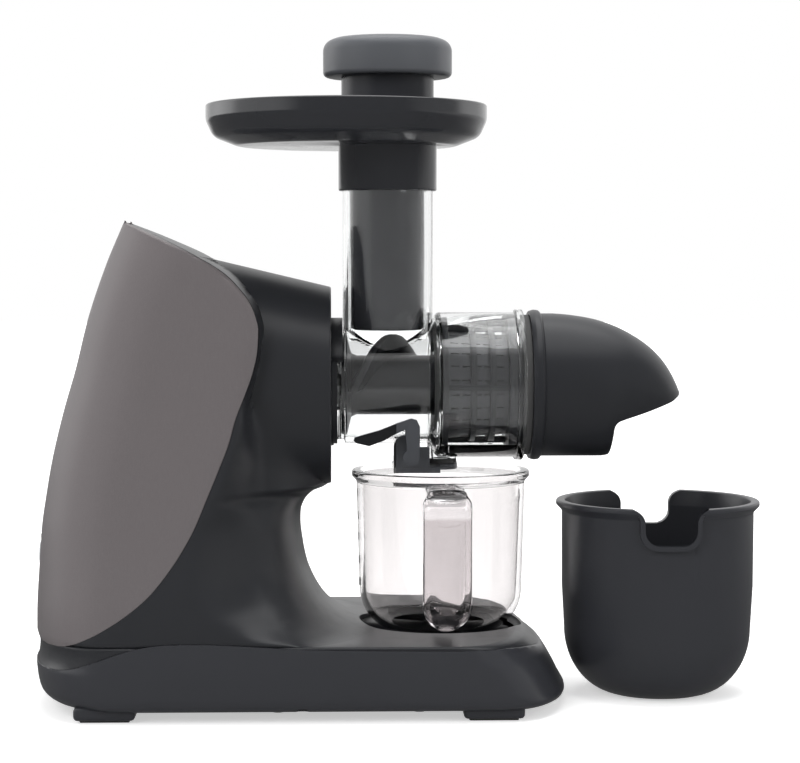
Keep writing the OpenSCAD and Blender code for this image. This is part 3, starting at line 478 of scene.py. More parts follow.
class Board:
    """The node tree of one material or world, with one method that adds nodes."""

    def __init__(self, tree: bpy.types.NodeTree) -> None:
        """Empties the tree."""
        self.tree = tree
        tree.nodes.clear()

    def add(self, kind: str, settings: dict[str, object], inputs: dict[object, object]) -> bpy.types.Node:
        """Adds a node.

        Args:
            kind: The node's type without its ShaderNode prefix.
            settings: Properties that are set first; a ramp's stops are given as "stops".
            inputs: Values or links of its sockets, by name or number.
        Returns:
            The node.
        """
        node = self.tree.nodes.new("ShaderNode" + kind)
        for key, value in settings.items():
            if key == "stops":
                ramp = node.color_ramp
                while len(ramp.elements) < len(value):
                    ramp.elements.new(1.0)
                for element, (place, colour) in zip(ramp.elements, value):
                    element.position = place
                    element.color = colour
            else:
                setattr(node, key, value)
        for key, value in inputs.items():
            socket = node.inputs[key]
            if isinstance(value, Value):
                self.tree.links.new(value.socket, socket)
            elif isinstance(value, bpy.types.NodeSocket):
                self.tree.links.new(value, socket)
            else:
                socket.default_value = value
        return node

    def sight(self) -> tuple["Value", "Value"]:
        """Shares of rays that look straight on, perhaps through clear plastic, and of rays mirrored by a piece."""
        rays = self.add("LightPath", {}, {})
        through = Value(self, rays.outputs["Is Transmission Ray"])
        diffused = Value(self, rays.outputs["Diffuse Depth"]).maths("MINIMUM", 1.0)
        seen = Value(self, rays.outputs["Is Camera Ray"]).maths("MAXIMUM", through * (1 - diffused))
        return seen, Value(self, rays.outputs["Is Glossy Ray"]) * (1 - seen) * (1 - through * diffused)

    def place(self) -> tuple[bpy.types.NodeSocket, Value, Value, Value]:
        """Returns Object coordinates as a vector and as three numbers in metres."""
        vector = self.add("TexCoord", {}, {}).outputs["Object"]
        split = self.add("SeparateXYZ", {}, {0: vector})
        return (vector, *[Value(self, split.outputs[i]) for i in range(3)])

    def noise(self, vector: bpy.types.NodeSocket, size: float, detail: float = 3.0,
              stretch: tuple[float, float, float] = (1.0, 1.0, 1.0)) -> Value:
        """Adds noise.

        Args:
            vector: Where it is read.
            size: Size of its grains in millimetres.
            detail: Octaves of detail.
            stretch: Length of the grains along each axis.
        Returns:
            A number near 0.5.
        """
        scaled = self.add("Mapping", {}, {"Vector": vector, "Scale": tuple(1 / s for s in stretch)}).outputs[0]
        node = self.add("TexNoise", {}, {"Vector": scaled, "Scale": 1 / (size * MM), "Detail": detail})
        return Value(self, node.outputs[0])

    def tint(self, dark: Sequence[float], light: Sequence[float], share: Value) -> bpy.types.NodeSocket:
        """Mixes two colours by a share and returns the colour."""
        node = self.add("Mix", {"data_type": "RGBA"}, {0: share, 6: dark, 7: light})
        return node.outputs[2]

    def bump(self, height: Value, depth: float) -> bpy.types.NodeSocket:
        """Adds a bump of the given depth in millimetres and returns its normal."""
        node = self.add("Bump", {}, {"Strength": 1.0, "Distance": depth * MM, "Height": height})
        return node.outputs[0]

    def shade(self, settings: dict[str, object]) -> None:
        """Adds the principled shader with these sockets and the material output."""
        shader = self.add("BsdfPrincipled", {}, settings)
        self.add("OutputMaterial", {}, {"Surface": shader.outputs[0]})


def scaled(colour: Sequence[float], by: float) -> tuple[float, float, float, float]:
    """Returns a linear colour made lighter or darker."""
    return (*[min(1.0, c * by) for c in colour[:3]], 1.0)


@dataclass(frozen=True)
class Finish:
    """A moulded or painted surface: its colour, gloss and the fine grain of the tool it came from."""

    name: str
    colour: tuple[int, int, int]
    roughness: float
    grain: float = 0.45
    depth: float = 0.01
    drift: float = 0.08
    specular: float = 0.5
    coat: float = 0.0
    metallic: float = 0.0
    smudge: float = 0.03
    stretch: tuple[float, float, float] = (1.0, 1.0, 1.0)

    def paint(self, board: Board) -> dict[str, object]:
        """Builds the surface.

        Args:
            board: The material's node tree.
        Returns:
            The shader's sockets.
        """
        vector, _, _, _ = board.place()
        base = linear(self.colour)
        fine = board.noise(vector, self.grain, 2.0, self.stretch)
        broad = board.noise(vector, 38.0, 3.0)
        wear = board.noise(vector, 9.0, 4.0).step(0.45, 0.75)
        return {
            "Base Color": board.tint(scaled(base, 1 - self.drift), scaled(base, 1 + self.drift), broad * 0.6 + fine * 0.4),
            "Roughness": wear * self.smudge + fine * 0.04 + (self.roughness - 0.02),
            "Metallic": self.metallic,
            "Specular IOR Level": self.specular,
            "Coat Weight": self.coat,
            "Coat Roughness": 0.06,
            "Normal": board.bump(fine, self.depth),
        }

    def material(self) -> bpy.types.Material:
        """Returns the material, made once."""
        known = bpy.data.materials.get(self.name)
        if known:
            return known
        made = bpy.data.materials.new(self.name)
        made.use_nodes = True
        board = Board(made.node_tree)
        board.shade(self.paint(board))
        return made


@dataclass(frozen=True)
class BrushedPaint(Finish):
    """Warm graphite paint with metal flake over finely brushed sheet."""

    def paint(self, board: Board) -> dict[str, object]:
        """Adds upright brush lines and flake to the plain surface."""
        sockets = super().paint(board)
        vector, _, _, _ = board.place()
        lines = board.noise(vector, 0.6, 4.0, (1.0, 1.0, 40.0))
        flake = board.noise(vector, 0.25, 1.0).step(0.52, 0.7)
        base = linear(self.colour)
        sockets["Base Color"] = board.tint(scaled(base, 0.88), scaled(base, 1.16), lines * 0.55 + flake * 0.45)
        sockets["Roughness"] = lines * 0.1 + (self.roughness - 0.05)
        sockets["Normal"] = board.bump(lines * 0.7 + flake * 0.3, self.depth)
        return sockets


@dataclass(frozen=True)
class ClearPlastic(Finish):
    """Clear, slightly tinted plastic with faint haze and fine scuffs."""

    bend: float = 1.46

    def paint(self, board: Board) -> dict[str, object]:
        """Builds clear plastic that is rough only where it is scuffed."""
        vector, _, _, _ = board.place()
        scuffs = board.noise(vector, 2.2, 5.0).step(0.62, 0.8)
        wave = board.noise(vector, 26.0, 1.0)
        base = linear(self.colour)
        return {
            "Base Color": board.tint(base, scaled(base, 0.985), wave),
            "Roughness": scuffs * 0.05 + self.roughness,
            "Transmission Weight": 1.0,
            "IOR": self.bend,
            "Specular IOR Level": self.specular,
            "Normal": board.bump(wave, self.depth),
        }


@dataclass(frozen=True)
class ShadeBandPlastic(ClearPlastic):
    """Clear plastic with painted shade: tinted darker below a height."""

    level: float = 106.0
    above: tuple[int, int, int] = (238, 236, 237)

    def paint(self, board: Board) -> dict[str, object]:
        """Adds the painted shade below the level."""
        sockets = super().paint(board)
        _, _, _, height = board.place()
        share = height.step((self.level - 1) * MM, (self.level + 1) * MM)
        sockets["Base Color"] = board.tint(linear(self.colour), linear(self.above), share)
        return sockets


@dataclass(frozen=True)
class TurnedSteel(Finish):
    """Machined or drawn steel with fine lines round the drum line."""

    def paint(self, board: Board) -> dict[str, object]:
        """Adds fine turning lines along X."""
        sockets = super().paint(board)
        vector, _, _, _ = board.place()
        lines = board.noise(vector, 0.3, 2.0, (1.0, 30.0, 30.0))
        sockets["Roughness"] = lines * 0.14 + (self.roughness - 0.07)
        sockets["Normal"] = board.bump(lines, self.depth)
        return sockets


CHARCOAL = Finish("charcoal_moulding", (39, 40, 43), 0.34, specular=0.45, depth=0.005)
BASE_CHARCOAL = Finish("base_moulding", (49, 50, 54), 0.32, specular=0.5, depth=0.006)
HOOD_CHARCOAL = Finish("hood_moulding", (38, 39, 42), 0.34, specular=0.3, depth=0.006)
# Lighter copy of the housing charcoal for the cup: painted light.
CUP_LIT_CHARCOAL = Finish("cup_painted_light_charcoal", (46, 47, 51), 0.32, specular=0.5, depth=0.008)
GRAPHITE = BrushedPaint("graphite_paint", (108, 103, 104), 0.46, metallic=0.25, specular=0.3, depth=0.002)
# Lighter copy of the gloss black for the tray: painted light on its wall.
TRAY_LIT_BLACK = Finish("tray_painted_light_black", (38, 39, 42), 0.14, specular=0.5, coat=0.3, depth=0.0015, smudge=0.04)
GLOSS_BLACK = Finish("gloss_moulding", (22, 23, 25), 0.12, specular=0.5, coat=0.3, depth=0.0015, smudge=0.04)
# Lighter copy of the gloss black for the pusher's stem: painted light.
STEM_LIT_BLACK = Finish("stem_painted_light_black", (50, 51, 55), 0.24, specular=0.25, depth=0.003)
# Grey copy of the gloss black for the pusher's cap: painted light.
CAP_LIT_GREY = Finish("cap_painted_light_grey", (82, 84, 88), 0.34, specular=0.45, depth=0.004)
AUGER_BLACK = Finish("auger_moulding", (34, 35, 38), 0.36, specular=0.2, depth=0.004)
INNER_BLACK = Finish("inner_moulding", (30, 30, 32), 0.5, depth=0.012)
CAGE_BLACK = Finish("cage_moulding", (46, 47, 50), 0.4, specular=0.22, depth=0.004)
# Grey of the jug's marks, and a lighter copy of the gloss black on the drip lever's rear: painted light there.
LEVER_LIT_AND_MARK_GREY = Finish("lever_painted_light_and_mark_grey", (64, 66, 70), 0.4, specular=0.4, depth=0.004)
RUBBER = Finish("rubber", (12, 12, 12), 0.5, depth=0.01, specular=0.15)
CLEAR = ClearPlastic("clear_plastic", (246, 247, 247), 0.0, depth=0.0)
JUG_CLEAR = ClearPlastic("jug_plastic", (238, 236, 236), 0.0, depth=0.0)
# The jug's handle, moulded with the jug, is tinted darker below a height: painted shade.
HANDLE_SHADED_CLEAR = ShadeBandPlastic("handle_painted_shade_plastic", (208, 203, 204), 0.0, depth=0.0)
STEEL = TurnedSteel("turned_steel", (190, 191, 194), 0.28, metallic=1.0, depth=0.002)
SCREEN_STEEL = TurnedSteel("screen_steel", (54, 55, 59), 0.45, metallic=0.2, depth=0.002)
CAN_STEEL = TurnedSteel("can_steel", (150, 152, 156), 0.36, metallic=1.0, depth=0.002)
DARK_STEEL = Finish("blued_steel", (78, 80, 84), 0.42, metallic=1.0, depth=0.006)
FERRITE = Finish("ferrite", (46, 45, 46), 0.7, depth=0.03)
COPPER = Finish("enamelled_copper", (176, 96, 54), 0.32, grain=0.5, metallic=1.0, coat=0.5, depth=0.03,
                stretch=(1.0, 12.0, 12.0))
CARBON = Finish("carbon", (28, 28, 30), 0.6, depth=0.02)
GEAR_WHITE = Finish("acetal", (226, 224, 216), 0.4, depth=0.004)
BOARD_GREEN = Finish("solder_mask", (22, 84, 48), 0.3, coat=0.3, grain=1.4, depth=0.012)
BUTTON_GREY = Finish("button_moulding", (172, 174, 177), 0.38, depth=0.004)
LENS = Finish("light_lens", (222, 228, 232), 0.22, coat=0.4, depth=0.002)


@dataclass
class Workshop:
    """Keeps what every sub-assembly needs to hand its pieces over."""

    count: int = 0
    names: list[str] = field(default_factory=list)

    def hand_over(self, piece: bpy.types.Object, finish: Finish, body: str, slot: str, stands_for: Iterable[str]
                  ) -> bpy.types.Object:
        """Gives a piece its finish and body.

        Args:
            piece: The finished mesh.
            finish: Its surface.
            body: The CAD body that it moves with.
            slot: Not used.
            stands_for: CAD nodes that it takes the place of.
        Returns:
            The piece.
        """
        piece.data.materials.clear()
        piece.data.materials.append(finish.material())
        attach(piece, body)
        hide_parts(*stands_for)
        self.count += 1
        self.names.append(piece.name)
        LOG.info("%s: %d faces, rides on %s", piece.name, len(piece.data.polygons), body)
        return piece

    def finish_node(self, node: str, finish: Finish) -> None:
        """Gives a CAD node a better material."""
        slots = bpy.data.objects[node].material_slots
        for slot in slots:
            slot.material = finish.material()
        LOG.info("%s: finished as %s", node, finish.name)


# ---------------------------------------------------------------- the machine's housing

REAR: Table = ((6, -190), (8, -193.5), (12, -196.6), (20, -198.2), (26, -198.6), (30, -197.4), (36, -197),
               (39, -197.8), (42, -198.7), (47, -198.7), (73.3, -197.6), (95.3, -196.1), (116.1, -193.1),
               (131.9, -190.3), (158, -184.1), (180.9, -177.5), (208.1, -170.7), (237.4, -160.8), (261, -150.9))
TOE: Table = ((6, 88), (8, 89.5), (13, 87), (20, 83.5), (26, 80), (30.3, 77), (34, 72.5), (38, 68.5), (40.5, 64))
FRONT: Table = ((40.5, -10), (41, -16), (42.5, -24), (45, -30), (49, -36), (55.1, -41.9), (66.2, -48.4),
                (75, -51.7), (86, -53.9), (97, -55.1), (102.5, -54.9), (108.6, -52.7), (114, -47.2), (116.5, -41),
                (118, -39.4), (120, -40), (130, -46), (145, -56), (157, -68), (165, -79), (174, -77), (182.7, -75),
                (193, -73.4), (203.5, -73), (210.7, -74.6), (218, -78), (225, -83.4), (232, -90.2), (238, -98.8),
                (241.3, -104.8), (244.8, -111.4), (250, -123), (256, -137), (259, -144.6), (261, -149.5))
WIDE: Table = ((6, 82.5), (9, 85.5), (14, 87), (26, 87.4), (45, 86.6), (97, 77.5), (130, 72.5), (165, 67.5),
               (203, 63), (235, 58.5), (261, 53))
SLIM: Table = ((40.5, 86.8), (42, 84), (45, 79), (50, 73), (60, 65), (75, 58.5), (97, 55), (117, 53), (165, 54))
STEP_FROM: Table = ((40.5, -72), (42, -80), (46, -92), (52, -100), (60, -107), (75, -112), (97, -110),
                    (116, -101), (131, -94.5), (145, -89), (157, -86), (165, -82), (174, -78), (183, -75),
                    (193, -73.4), (203.5, -73), (210.7, -74.6), (218, -78), (225, -83), (232, -89.2),
                    (261, -148.6))
STEP_TO: Table = ((40.5, -34), (46, -46), (52, -54), (60, -62), (75, -69), (97, -72), (157, -72), (174, -66),
                  (200, -60), (225, -70), (261, -140))
NOSE: Table = ((40.5, 46), (45, 36), (60, 28), (97, 27), (108, 36), (117, 60), (130, 50), (145, 35), (157, 20),
               (166, 7), (218, 4.5), (230, 4.5), (241, 4), (261, 3.5))
EDGE: Table = ((38.7, -187), (39.7, -178), (44.4, -165.4), (51, -153), (58, -142.5), (67, -132), (77, -123.7),
               (87.6, -116.4), (101, -109), (115.8, -102.8), (131.4, -96.4), (145, -91.2), (156.8, -88),
               (170.3, -82.8), (182.7, -78.6), (193, -76.5), (203.5, -76), (210.7, -77.5), (218, -80.6),
               (225, -85.9), (232, -92.6), (238, -101.2), (241.3, -107.2), (244.8, -113.4), (250, -124.2),
               (256, -137.6), (260, -147.8))
BEAK: Table = ((84, 39.4), (90.9, 38.9), (104.8, 36.8), (117.8, 32.8), (129.6, 26.8), (138.6, 20.3), (145.5, 12.9),
               (150.5, 4.9), (154.5, -4.2))
SEAM: Table = ((-205, 25.2), (-199, 25.6), (-183, 26.6), (-173, 28.7), (-160, 33.2), (-147, 37.8), (-136, 40.6),
               (-122, 42.2), (-107, 42.3), (-81, 41.2), (-60, 39.8), (-33, 39), (0, 38.6), (40, 38.2),
               (53.5, 37.6), (62, 36), (67.5, 34.5), (77.3, 30.3), (95, 22))


@dataclass
class Housing:
    """The motor tower with its round neck, the painted side panel and the lower base."""

    shop: Workshop
    deck: float = 40.5
    axis: float = 171.4
    neck: float = 54.0
    face: float = -38.0
    edge_round: float = 0.9
    neck_rise: float = 0.2376
    neck_spread: float = 0.055
    neck_end: float = -104.0
    skin: float = 0.9
    gap: float = 0.35
    top: float = 261.0
    blend: float = 14.0
    back_steps: int = 34
    front_steps: int = 66
    bezel_half: float = 26.5
    bezel_z: float = 80.0
    bezel_x: float = -194.6
    button_y: float = 15.5
    jug_x: float = 22.4
    dish_depth: float = 6.0

    def neck_half(self, x: float, z: float) -> float:
        """Half width of the neck drum; below zero outside it."""
        if x > self.face + 0.001 or x < self.neck_end:
            return -99.0
        u = clamp((self.face - x) / self.edge_round)
        inset = self.edge_round * (1 - math.sqrt(max(0.0, 1 - (1 - u) ** 2)))
        top = self.axis + self.neck + self.neck_rise * (self.face - x) - inset
        low = self.axis - self.neck + inset
        centre, half = (top + low) / 2, (top - low) / 2
        away = (z - centre) / half
        width = self.neck + self.neck_spread * (self.face - x) - inset
        return width * math.sqrt(1 - away * away) if abs(away) < 1 else -60.0 * (abs(away) - 1) - 0.01

    def neck_front(self, z: float) -> float:
        """How far forward the neck reaches at a height, or far back where it doesn't."""
        low, high = self.neck_end + 0.1, self.face
        if self.neck_half(low, z) < 0:
            return -999.0
        if self.neck_half(high, z) >= 0:
            return high
        for _ in range(30):
            middle = (low + high) / 2
            if self.neck_half(middle, z) >= 0:
                low = middle
            else:
                high = middle
        return low

    def tower_half(self, x: float, z: float, back: float, front: float, deck: bool, inset: float) -> float:
        """Half width of the tower or deck slice.

        Args:
            x: Where along the slice.
            z: Height of the slice.
            back: Rear end of the slice.
            front: Front end of the slice.
            deck: Whether the slice lies in the deck.
            inset: How far the surface is set in.
        Returns:
            The half width; below zero past the front end.
        """
        if x > front:
            return -3 * (x - front)
        wide, slim = curve(WIDE, z) - inset, curve(SLIM, z) - inset
        start, end = curve(STEP_FROM, z), curve(STEP_TO, z)
        width = wide if deck else wide + (slim - wide) * ease((x - start) / (end - start))
        nose = 40.0 if deck else curve(NOSE, z)
        power = 2.4 if deck else 2 + ease((z - 157) / 12)
        return width * shoulder(x - back, 46, 2.2) * shoulder(front - x, nose, power)

    def half(self, x: float, z: float, back: float, front: float, deck: bool, inset: float) -> float:
        """Half width of tower and neck together, with a soft valley between them."""
        tower = self.tower_half(x, z, back, front, deck, inset)
        if deck:
            return max(0.0, tower)
        drum = self.neck_half(x, z)
        reach = self.blend * ease((self.face - 3 - x) / 14) * ease((x - curve(EDGE, z) - 1) / 14)
        both = max(tower, drum)
        if reach > 0.01 and tower > 0 and drum > 0:
            both += max(reach - abs(tower - drum), 0) ** 2 / (4 * reach) * ease(min(tower, drum) / 12)
        return max(0.0, both)

    def side_row(self, z: float, deck: bool, inset: float, recess: float) -> list[Point]:
        """Points of one slice from the middle of the rear to the middle of the front.

        Args:
            z: Height of the slice.
            deck: Whether it lies in the deck.
            inset: How far the whole slice is set in.
            recess: How much more the part under the panel is set in.
        Returns:
            Points (x, half width).
        """
        tower_front = curve(TOE if deck else FRONT, z) - inset
        front = tower_front if deck else max(tower_front, self.neck_front(z))
        turn = min(curve(EDGE, z) + self.gap, front - 0.3)
        sunk = inset + recess
        back = curve(REAR, z) + sunk
        row = []
        for i in range(self.back_steps + 1):
            t = i / self.back_steps
            share = 1 - math.cos(math.pi / 2 * t) if turn - back < 60 else 0.55 * (1 - math.cos(math.pi * t / 2)) + 0.45 * t * t
            x = back + (turn - back) * share
            row.append((x, self.half(x, z, back, tower_front, deck, sunk)))
        rear = curve(REAR, z) + inset
        for i in range(self.front_steps + 1):
            t = i / self.front_steps
            last = front - self.edge_round
            if last > turn:
                x = turn + (last - turn) * (0.35 * t + 0.65 * math.sin(math.pi / 2 * t))
            else:
                x = turn + (front - turn) * t
            row.append((x, self.half(x, z, rear, tower_front, deck, inset)))
        for u in (0.7, 0.4, 0.2, 0.07, 0.0):
            x = max(front - self.edge_round * u, turn)
            row.append((x, self.half(x, z, rear, tower_front, deck, inset)))
        if not (self.face - 0.001 <= front and not deck):
            row[-1] = (front, 0.0)
        return row

    def heights(self) -> list[tuple[float, bool, float, float]]:
        """Rows of the tower as (height, in the deck, inset, recess under the panel)."""
        under = [16, 22, 26, 29, 32, 35, 37, 38.45]
        rows = [(float(z), True, 0.0, 0.0) for z in under]
        sunk = self.skin + 0.05
        rows += [(38.5, True, 0.0, sunk), (39.3, True, 0.0, sunk), (39.75, True, 0.12, sunk), (40.12, True, 0.4, sunk),
                 (40.38, True, 0.8, sunk), (40.5, True, 1.4, sunk)]
        rows += [(40.5, False, 1.4, sunk), (40.62, False, 1.1, sunk), (40.9, False, 0.7, sunk), (41.3, False, 0.35, sunk),
                 (41.9, False, 0.1, sunk)]
        zs = [42.6, 43.4, 44.4, 45.6, 47, 48.6, 50.4, 52.4]
        zs += [55 + 2.6 * i for i in range(21)]
        zs += [109, 110.6, 112, 113.2, 114.3, 115.2, 116, 116.7, 117.2]
        low, top = self.axis - self.neck, self.axis + self.neck
        zs += [low + d for d in (0.02, 0.08, 0.2, 0.38, 0.6, 0.85)]
        arc = [self.axis - (self.neck - self.edge_round) * math.cos(math.radians(a)) for a in range(0, 181, 4)]
        zs += arc[:1] + [arc[0] + 0.06] + arc[1:-1] + [arc[-1] - 0.06, arc[-1]]
        zs += [top - 0.6, top - 0.3, top, top + 0.2]
        z = top + 0.9
        while z < 258.5:
            zs.append(z)
            z += 0.9 if z < 240 else 1.3
        zs += [258.9, 259.6]
        return rows + [(float(z), False, 0.0, sunk) for z in zs]

    def body(self) -> bpy.types.Object:
        """Builds the tower, neck and deck as one closed skin."""
        points: list[tuple[float, float, float]] = []
        faces: list[tuple[int, ...]] = []
        rows = [(z, self.side_row(z, deck, inset, recess)) for z, deck, inset, recess in self.heights()]
        count = len(rows[0][1])
        for side in (1, -1):
            start = len(points)
            for z, row in rows:
                points += [(x * MM, side * y * MM, z * MM) for x, y in row]
            for j in range(len(rows) - 1):
                for i in range(count - 1):
                    a = start + j * count + i
                    quad = (a, a + 1, a + count + 1, a + count)
                    faces.append(quad if side < 0 else quad[::-1])
        other = len(rows) * count
        for j in (0, len(rows) - 1):
            ring = [j * count + i for i in range(count)] + [other + j * count + i for i in reversed(range(1, count - 1))]
            faces.append(tuple(ring if j else ring[::-1]))
        open_rows = [j for j, (_, row) in enumerate(rows) if row[-1][1] > 0.001 and row[-1][0] > self.face - 0.01]
        rim = [j * count + count - 1 for j in open_rows] + [other + j * count + count - 1 for j in reversed(open_rows)]
        faces.append(tuple(rim))
        mesh = bpy.data.meshes.new("tower")
        mesh.from_pydata(points, [], faces)
        piece = bpy.data.objects.new("tower", mesh)
        bpy.context.scene.collection.objects.link(piece)
        close_up(piece, 0.004)
        return piece

    def seam_block(self, shift: float, top: float) -> bpy.types.Object:
        """Solid above the seam line between housing and base."""
        xs = [-204 + 4 * i for i in range(75)]
        line = [(x, curve(SEAM, x) + shift) for x in xs]
        return extruded(line + [(xs[-1], top), (xs[0], top)], (-110, 110), side_on)

    def rear_openings(self, grow: float) -> list[bpy.types.Object]:
        """Tools that cut the control window and the air slots in the rear end."""
        low = (-212, -self.bezel_half - grow, self.bezel_z - 12.7 - grow)
        tools = [block(low, (self.bezel_x + 2.7, self.bezel_half + grow, self.bezel_z + 12.7 + grow), 1.2, 3)]
        for i in range(-3, 4):
            tools.append(block((-206, i * 9 - 2, 45), (-192, i * 9 + 2, 57), 0.8, 2))
        return tools

    def build_body(self) -> None:
        """Cuts the tower at the seam, the coupling bore, the dish and the rear openings."""
        piece = carve(self.body(), self.seam_block(0.15, 300), Cut.KEEP)
        floor = self.deck - self.dish_depth
        dish = rounded([(0, floor), (44.2, floor, 5), (45, self.deck), (45, self.deck + 15), (0, self.deck + 15)])
        carve(piece, turned(dish, (self.jug_x, 0, 0), steps=128), Cut.TAKE)
        bore = rounded([(0, -50), (16, -50), (16, -38.3), (16.4, -37), (0, -37)])
        carve(piece, turned(bore, (0, 0, self.axis), Turn.DRUM), Cut.TAKE)
        for tool in self.rear_openings(0.3):
            carve(piece, tool, Cut.TAKE)
        settle(piece, "housing_moulding", 40)
        self.shop.hand_over(piece, CHARCOAL, "machine", "housing", ["main_housing"])

    def build_panel(self) -> None:
        """Builds the painted panel that wraps round the rear of the tower."""
        zs = [38.65, 38.9, 39.4] + [40.2 + 1.9 * i for i in range(114)] + [256.6, 257.8, 258.8, 259.6, 260.2]
        steps = 44
        rows = []
        for z in zs:
            front = curve(FRONT, z) if z > self.deck else curve(TOE, z)
            back = curve(REAR, z)
            turn = min(curve(EDGE, z), front - 0.15)
            deck = z < self.deck
            side = []
            for i in range(steps + 1):
                t = i / steps
                share = 1 - math.cos(math.pi / 2 * t) if turn - back < 60 else 0.55 * (1 - math.cos(math.pi * t / 2)) + 0.45 * t * t
                x = back + (turn - back) * share
                side.append((x, max(0.0, self.tower_half(x, z, back, front, deck, 0.0))))
            rows.append([(x, -y, z) for x, y in reversed(side)] + [(x, y, z) for x, y in side[1:]])
        last = rows[-1]
        middle = (max(p[0] for p in last) + min(p[0] for p in last)) / 2
        for share, z in ((0.75, 260.5), (0.4, 260.62), (0.0, 260.65)):
            rows.append([(middle + (p[0] - middle) * share, p[1] * (0.99 + 0.01 * share), z) for p in last])
        piece = shell(rows, closed=False)
        pick(piece)
        bpy.ops.object.mode_set(mode="EDIT")
        bpy.ops.mesh.select_all(action="SELECT")
        bpy.ops.mesh.remove_doubles(threshold=0.000003)
        bpy.ops.mesh.normals_make_consistent(inside=False)
        bpy.ops.object.mode_set(mode="OBJECT")
        rear = min(piece.data.polygons, key=lambda p: p.center.x)
        if rear.normal.x > 0:
            bpy.ops.object.mode_set(mode="EDIT")
            bpy.ops.mesh.flip_normals()
            bpy.ops.object.mode_set(mode="OBJECT")
        thick = piece.modifiers.new("thickness", "SOLIDIFY")
        thick.thickness = self.skin * MM
        thick.offset = -1
        bpy.ops.object.modifier_apply(modifier=thick.name)
        for tool in self.rear_openings(0.6):
            carve(piece, tool, Cut.TAKE)
        soften(piece, 0.25, 2, 50)
        settle(piece, "graphite_panel", 40)
        self.shop.hand_over(piece, GRAPHITE, "machine", "panel", ["side_panel"])

    def build_base(self) -> None:
        """Builds the lower base with its feet."""
        rows = []
        levels = [(6.0, 1.1), (6.2, 0.5), (6.7, 0.1), (7.4, -0.2), (8.5, -0.4)] + [(9.5 + 1.6 * i, -0.5) for i in range(22)]
        for z, inset in levels:
            back, front = curve(REAR, min(z, 40)) + inset, curve(TOE, min(z, 40)) - inset
            side = []
            for i in range(97):
                x = (back + front) / 2 - (front - back) / 2 * math.cos(math.pi * i / 96)
                side.append((x, self.tower_half(x, min(z, 40), back, front, True, inset) if 0 < i < 96 else 0.0))
            rows.append([(x, y, z) for x, y in side] + [(x, -y, z) for x, y in reversed(side[1:-1])])
        piece = shell(rows)
        close_up(piece)
        carve(piece, self.seam_block(0, 80), Cut.TAKE)
        inner = [[(x, y, z) for x, y, _ in row] for z, row in ((2.0, self.inset_ring(3.4)), (9.0, self.inset_ring(3.4)))]
        carve(piece, shell(inner), Cut.TAKE)
        carve(piece, block((-56.5, -92, 3), (-49.5, -80, 8.4), 2.2, 4), Cut.TAKE)
        gland = turned([(0, -215), (8.2, -215), (8.2, -191.8), (0, -191.8)], (0, 45, 18), Turn.DRUM, 48)
        carve(piece, gland, Cut.TAKE)
        soften(piece, 0.8, 3, 50)
        for x, y in ((-156, 69), (-156, -69), (47, 69), (47, -69)):
            carve(piece, self.foot(x, y), Cut.ADD)
        settle(piece, "base_moulding", 40)
        self.shop.hand_over(piece, BASE_CHARCOAL, "machine", "base", ["lower_base"])

    def inset_ring(self, inset: float) -> list[tuple[float, float, float]]:
        """Plan outline of the base set in by a wall."""
        back, front = curve(REAR, 9) + inset, curve(TOE, 9) - inset
        side = []
        for i in range(65):
            x = (back + front) / 2 - (front - back) / 2 * math.cos(math.pi * i / 64)
            side.append((x, self.tower_half(x, 9, back, front, True, inset) if 0 < i < 64 else 0.0))
        return [(x, y, 0.0) for x, y in side] + [(x, -y, 0.0) for x, y in reversed(side[1:-1])]

    def foot(self, x: float, y: float) -> bpy.types.Object:
        """One tapered foot: a block whose lower face is drawn in and whose edges are rounded."""
        piece = block((x - 18.5, y - 15, 1.4), (x + 18.5, y + 15, 8.6))
        pick(piece)
        for face in piece.data.polygons:
            face.select = face.normal.z < -0.9
        bpy.ops.object.mode_set(mode="EDIT")
        bpy.ops.transform.resize(value=(32 / 37, 24 / 30, 1), center_override=(x * MM, y * MM, 0))
        bpy.ops.object.mode_set(mode="OBJECT")
        return soften(piece, 2.2, 4, 20)

    def build(self) -> None:
        """Builds the housing's pieces."""
        self.build_body()
        self.build_panel()
        self.build_base()


# ---------------------------------------------------------------- what lies along the drum line


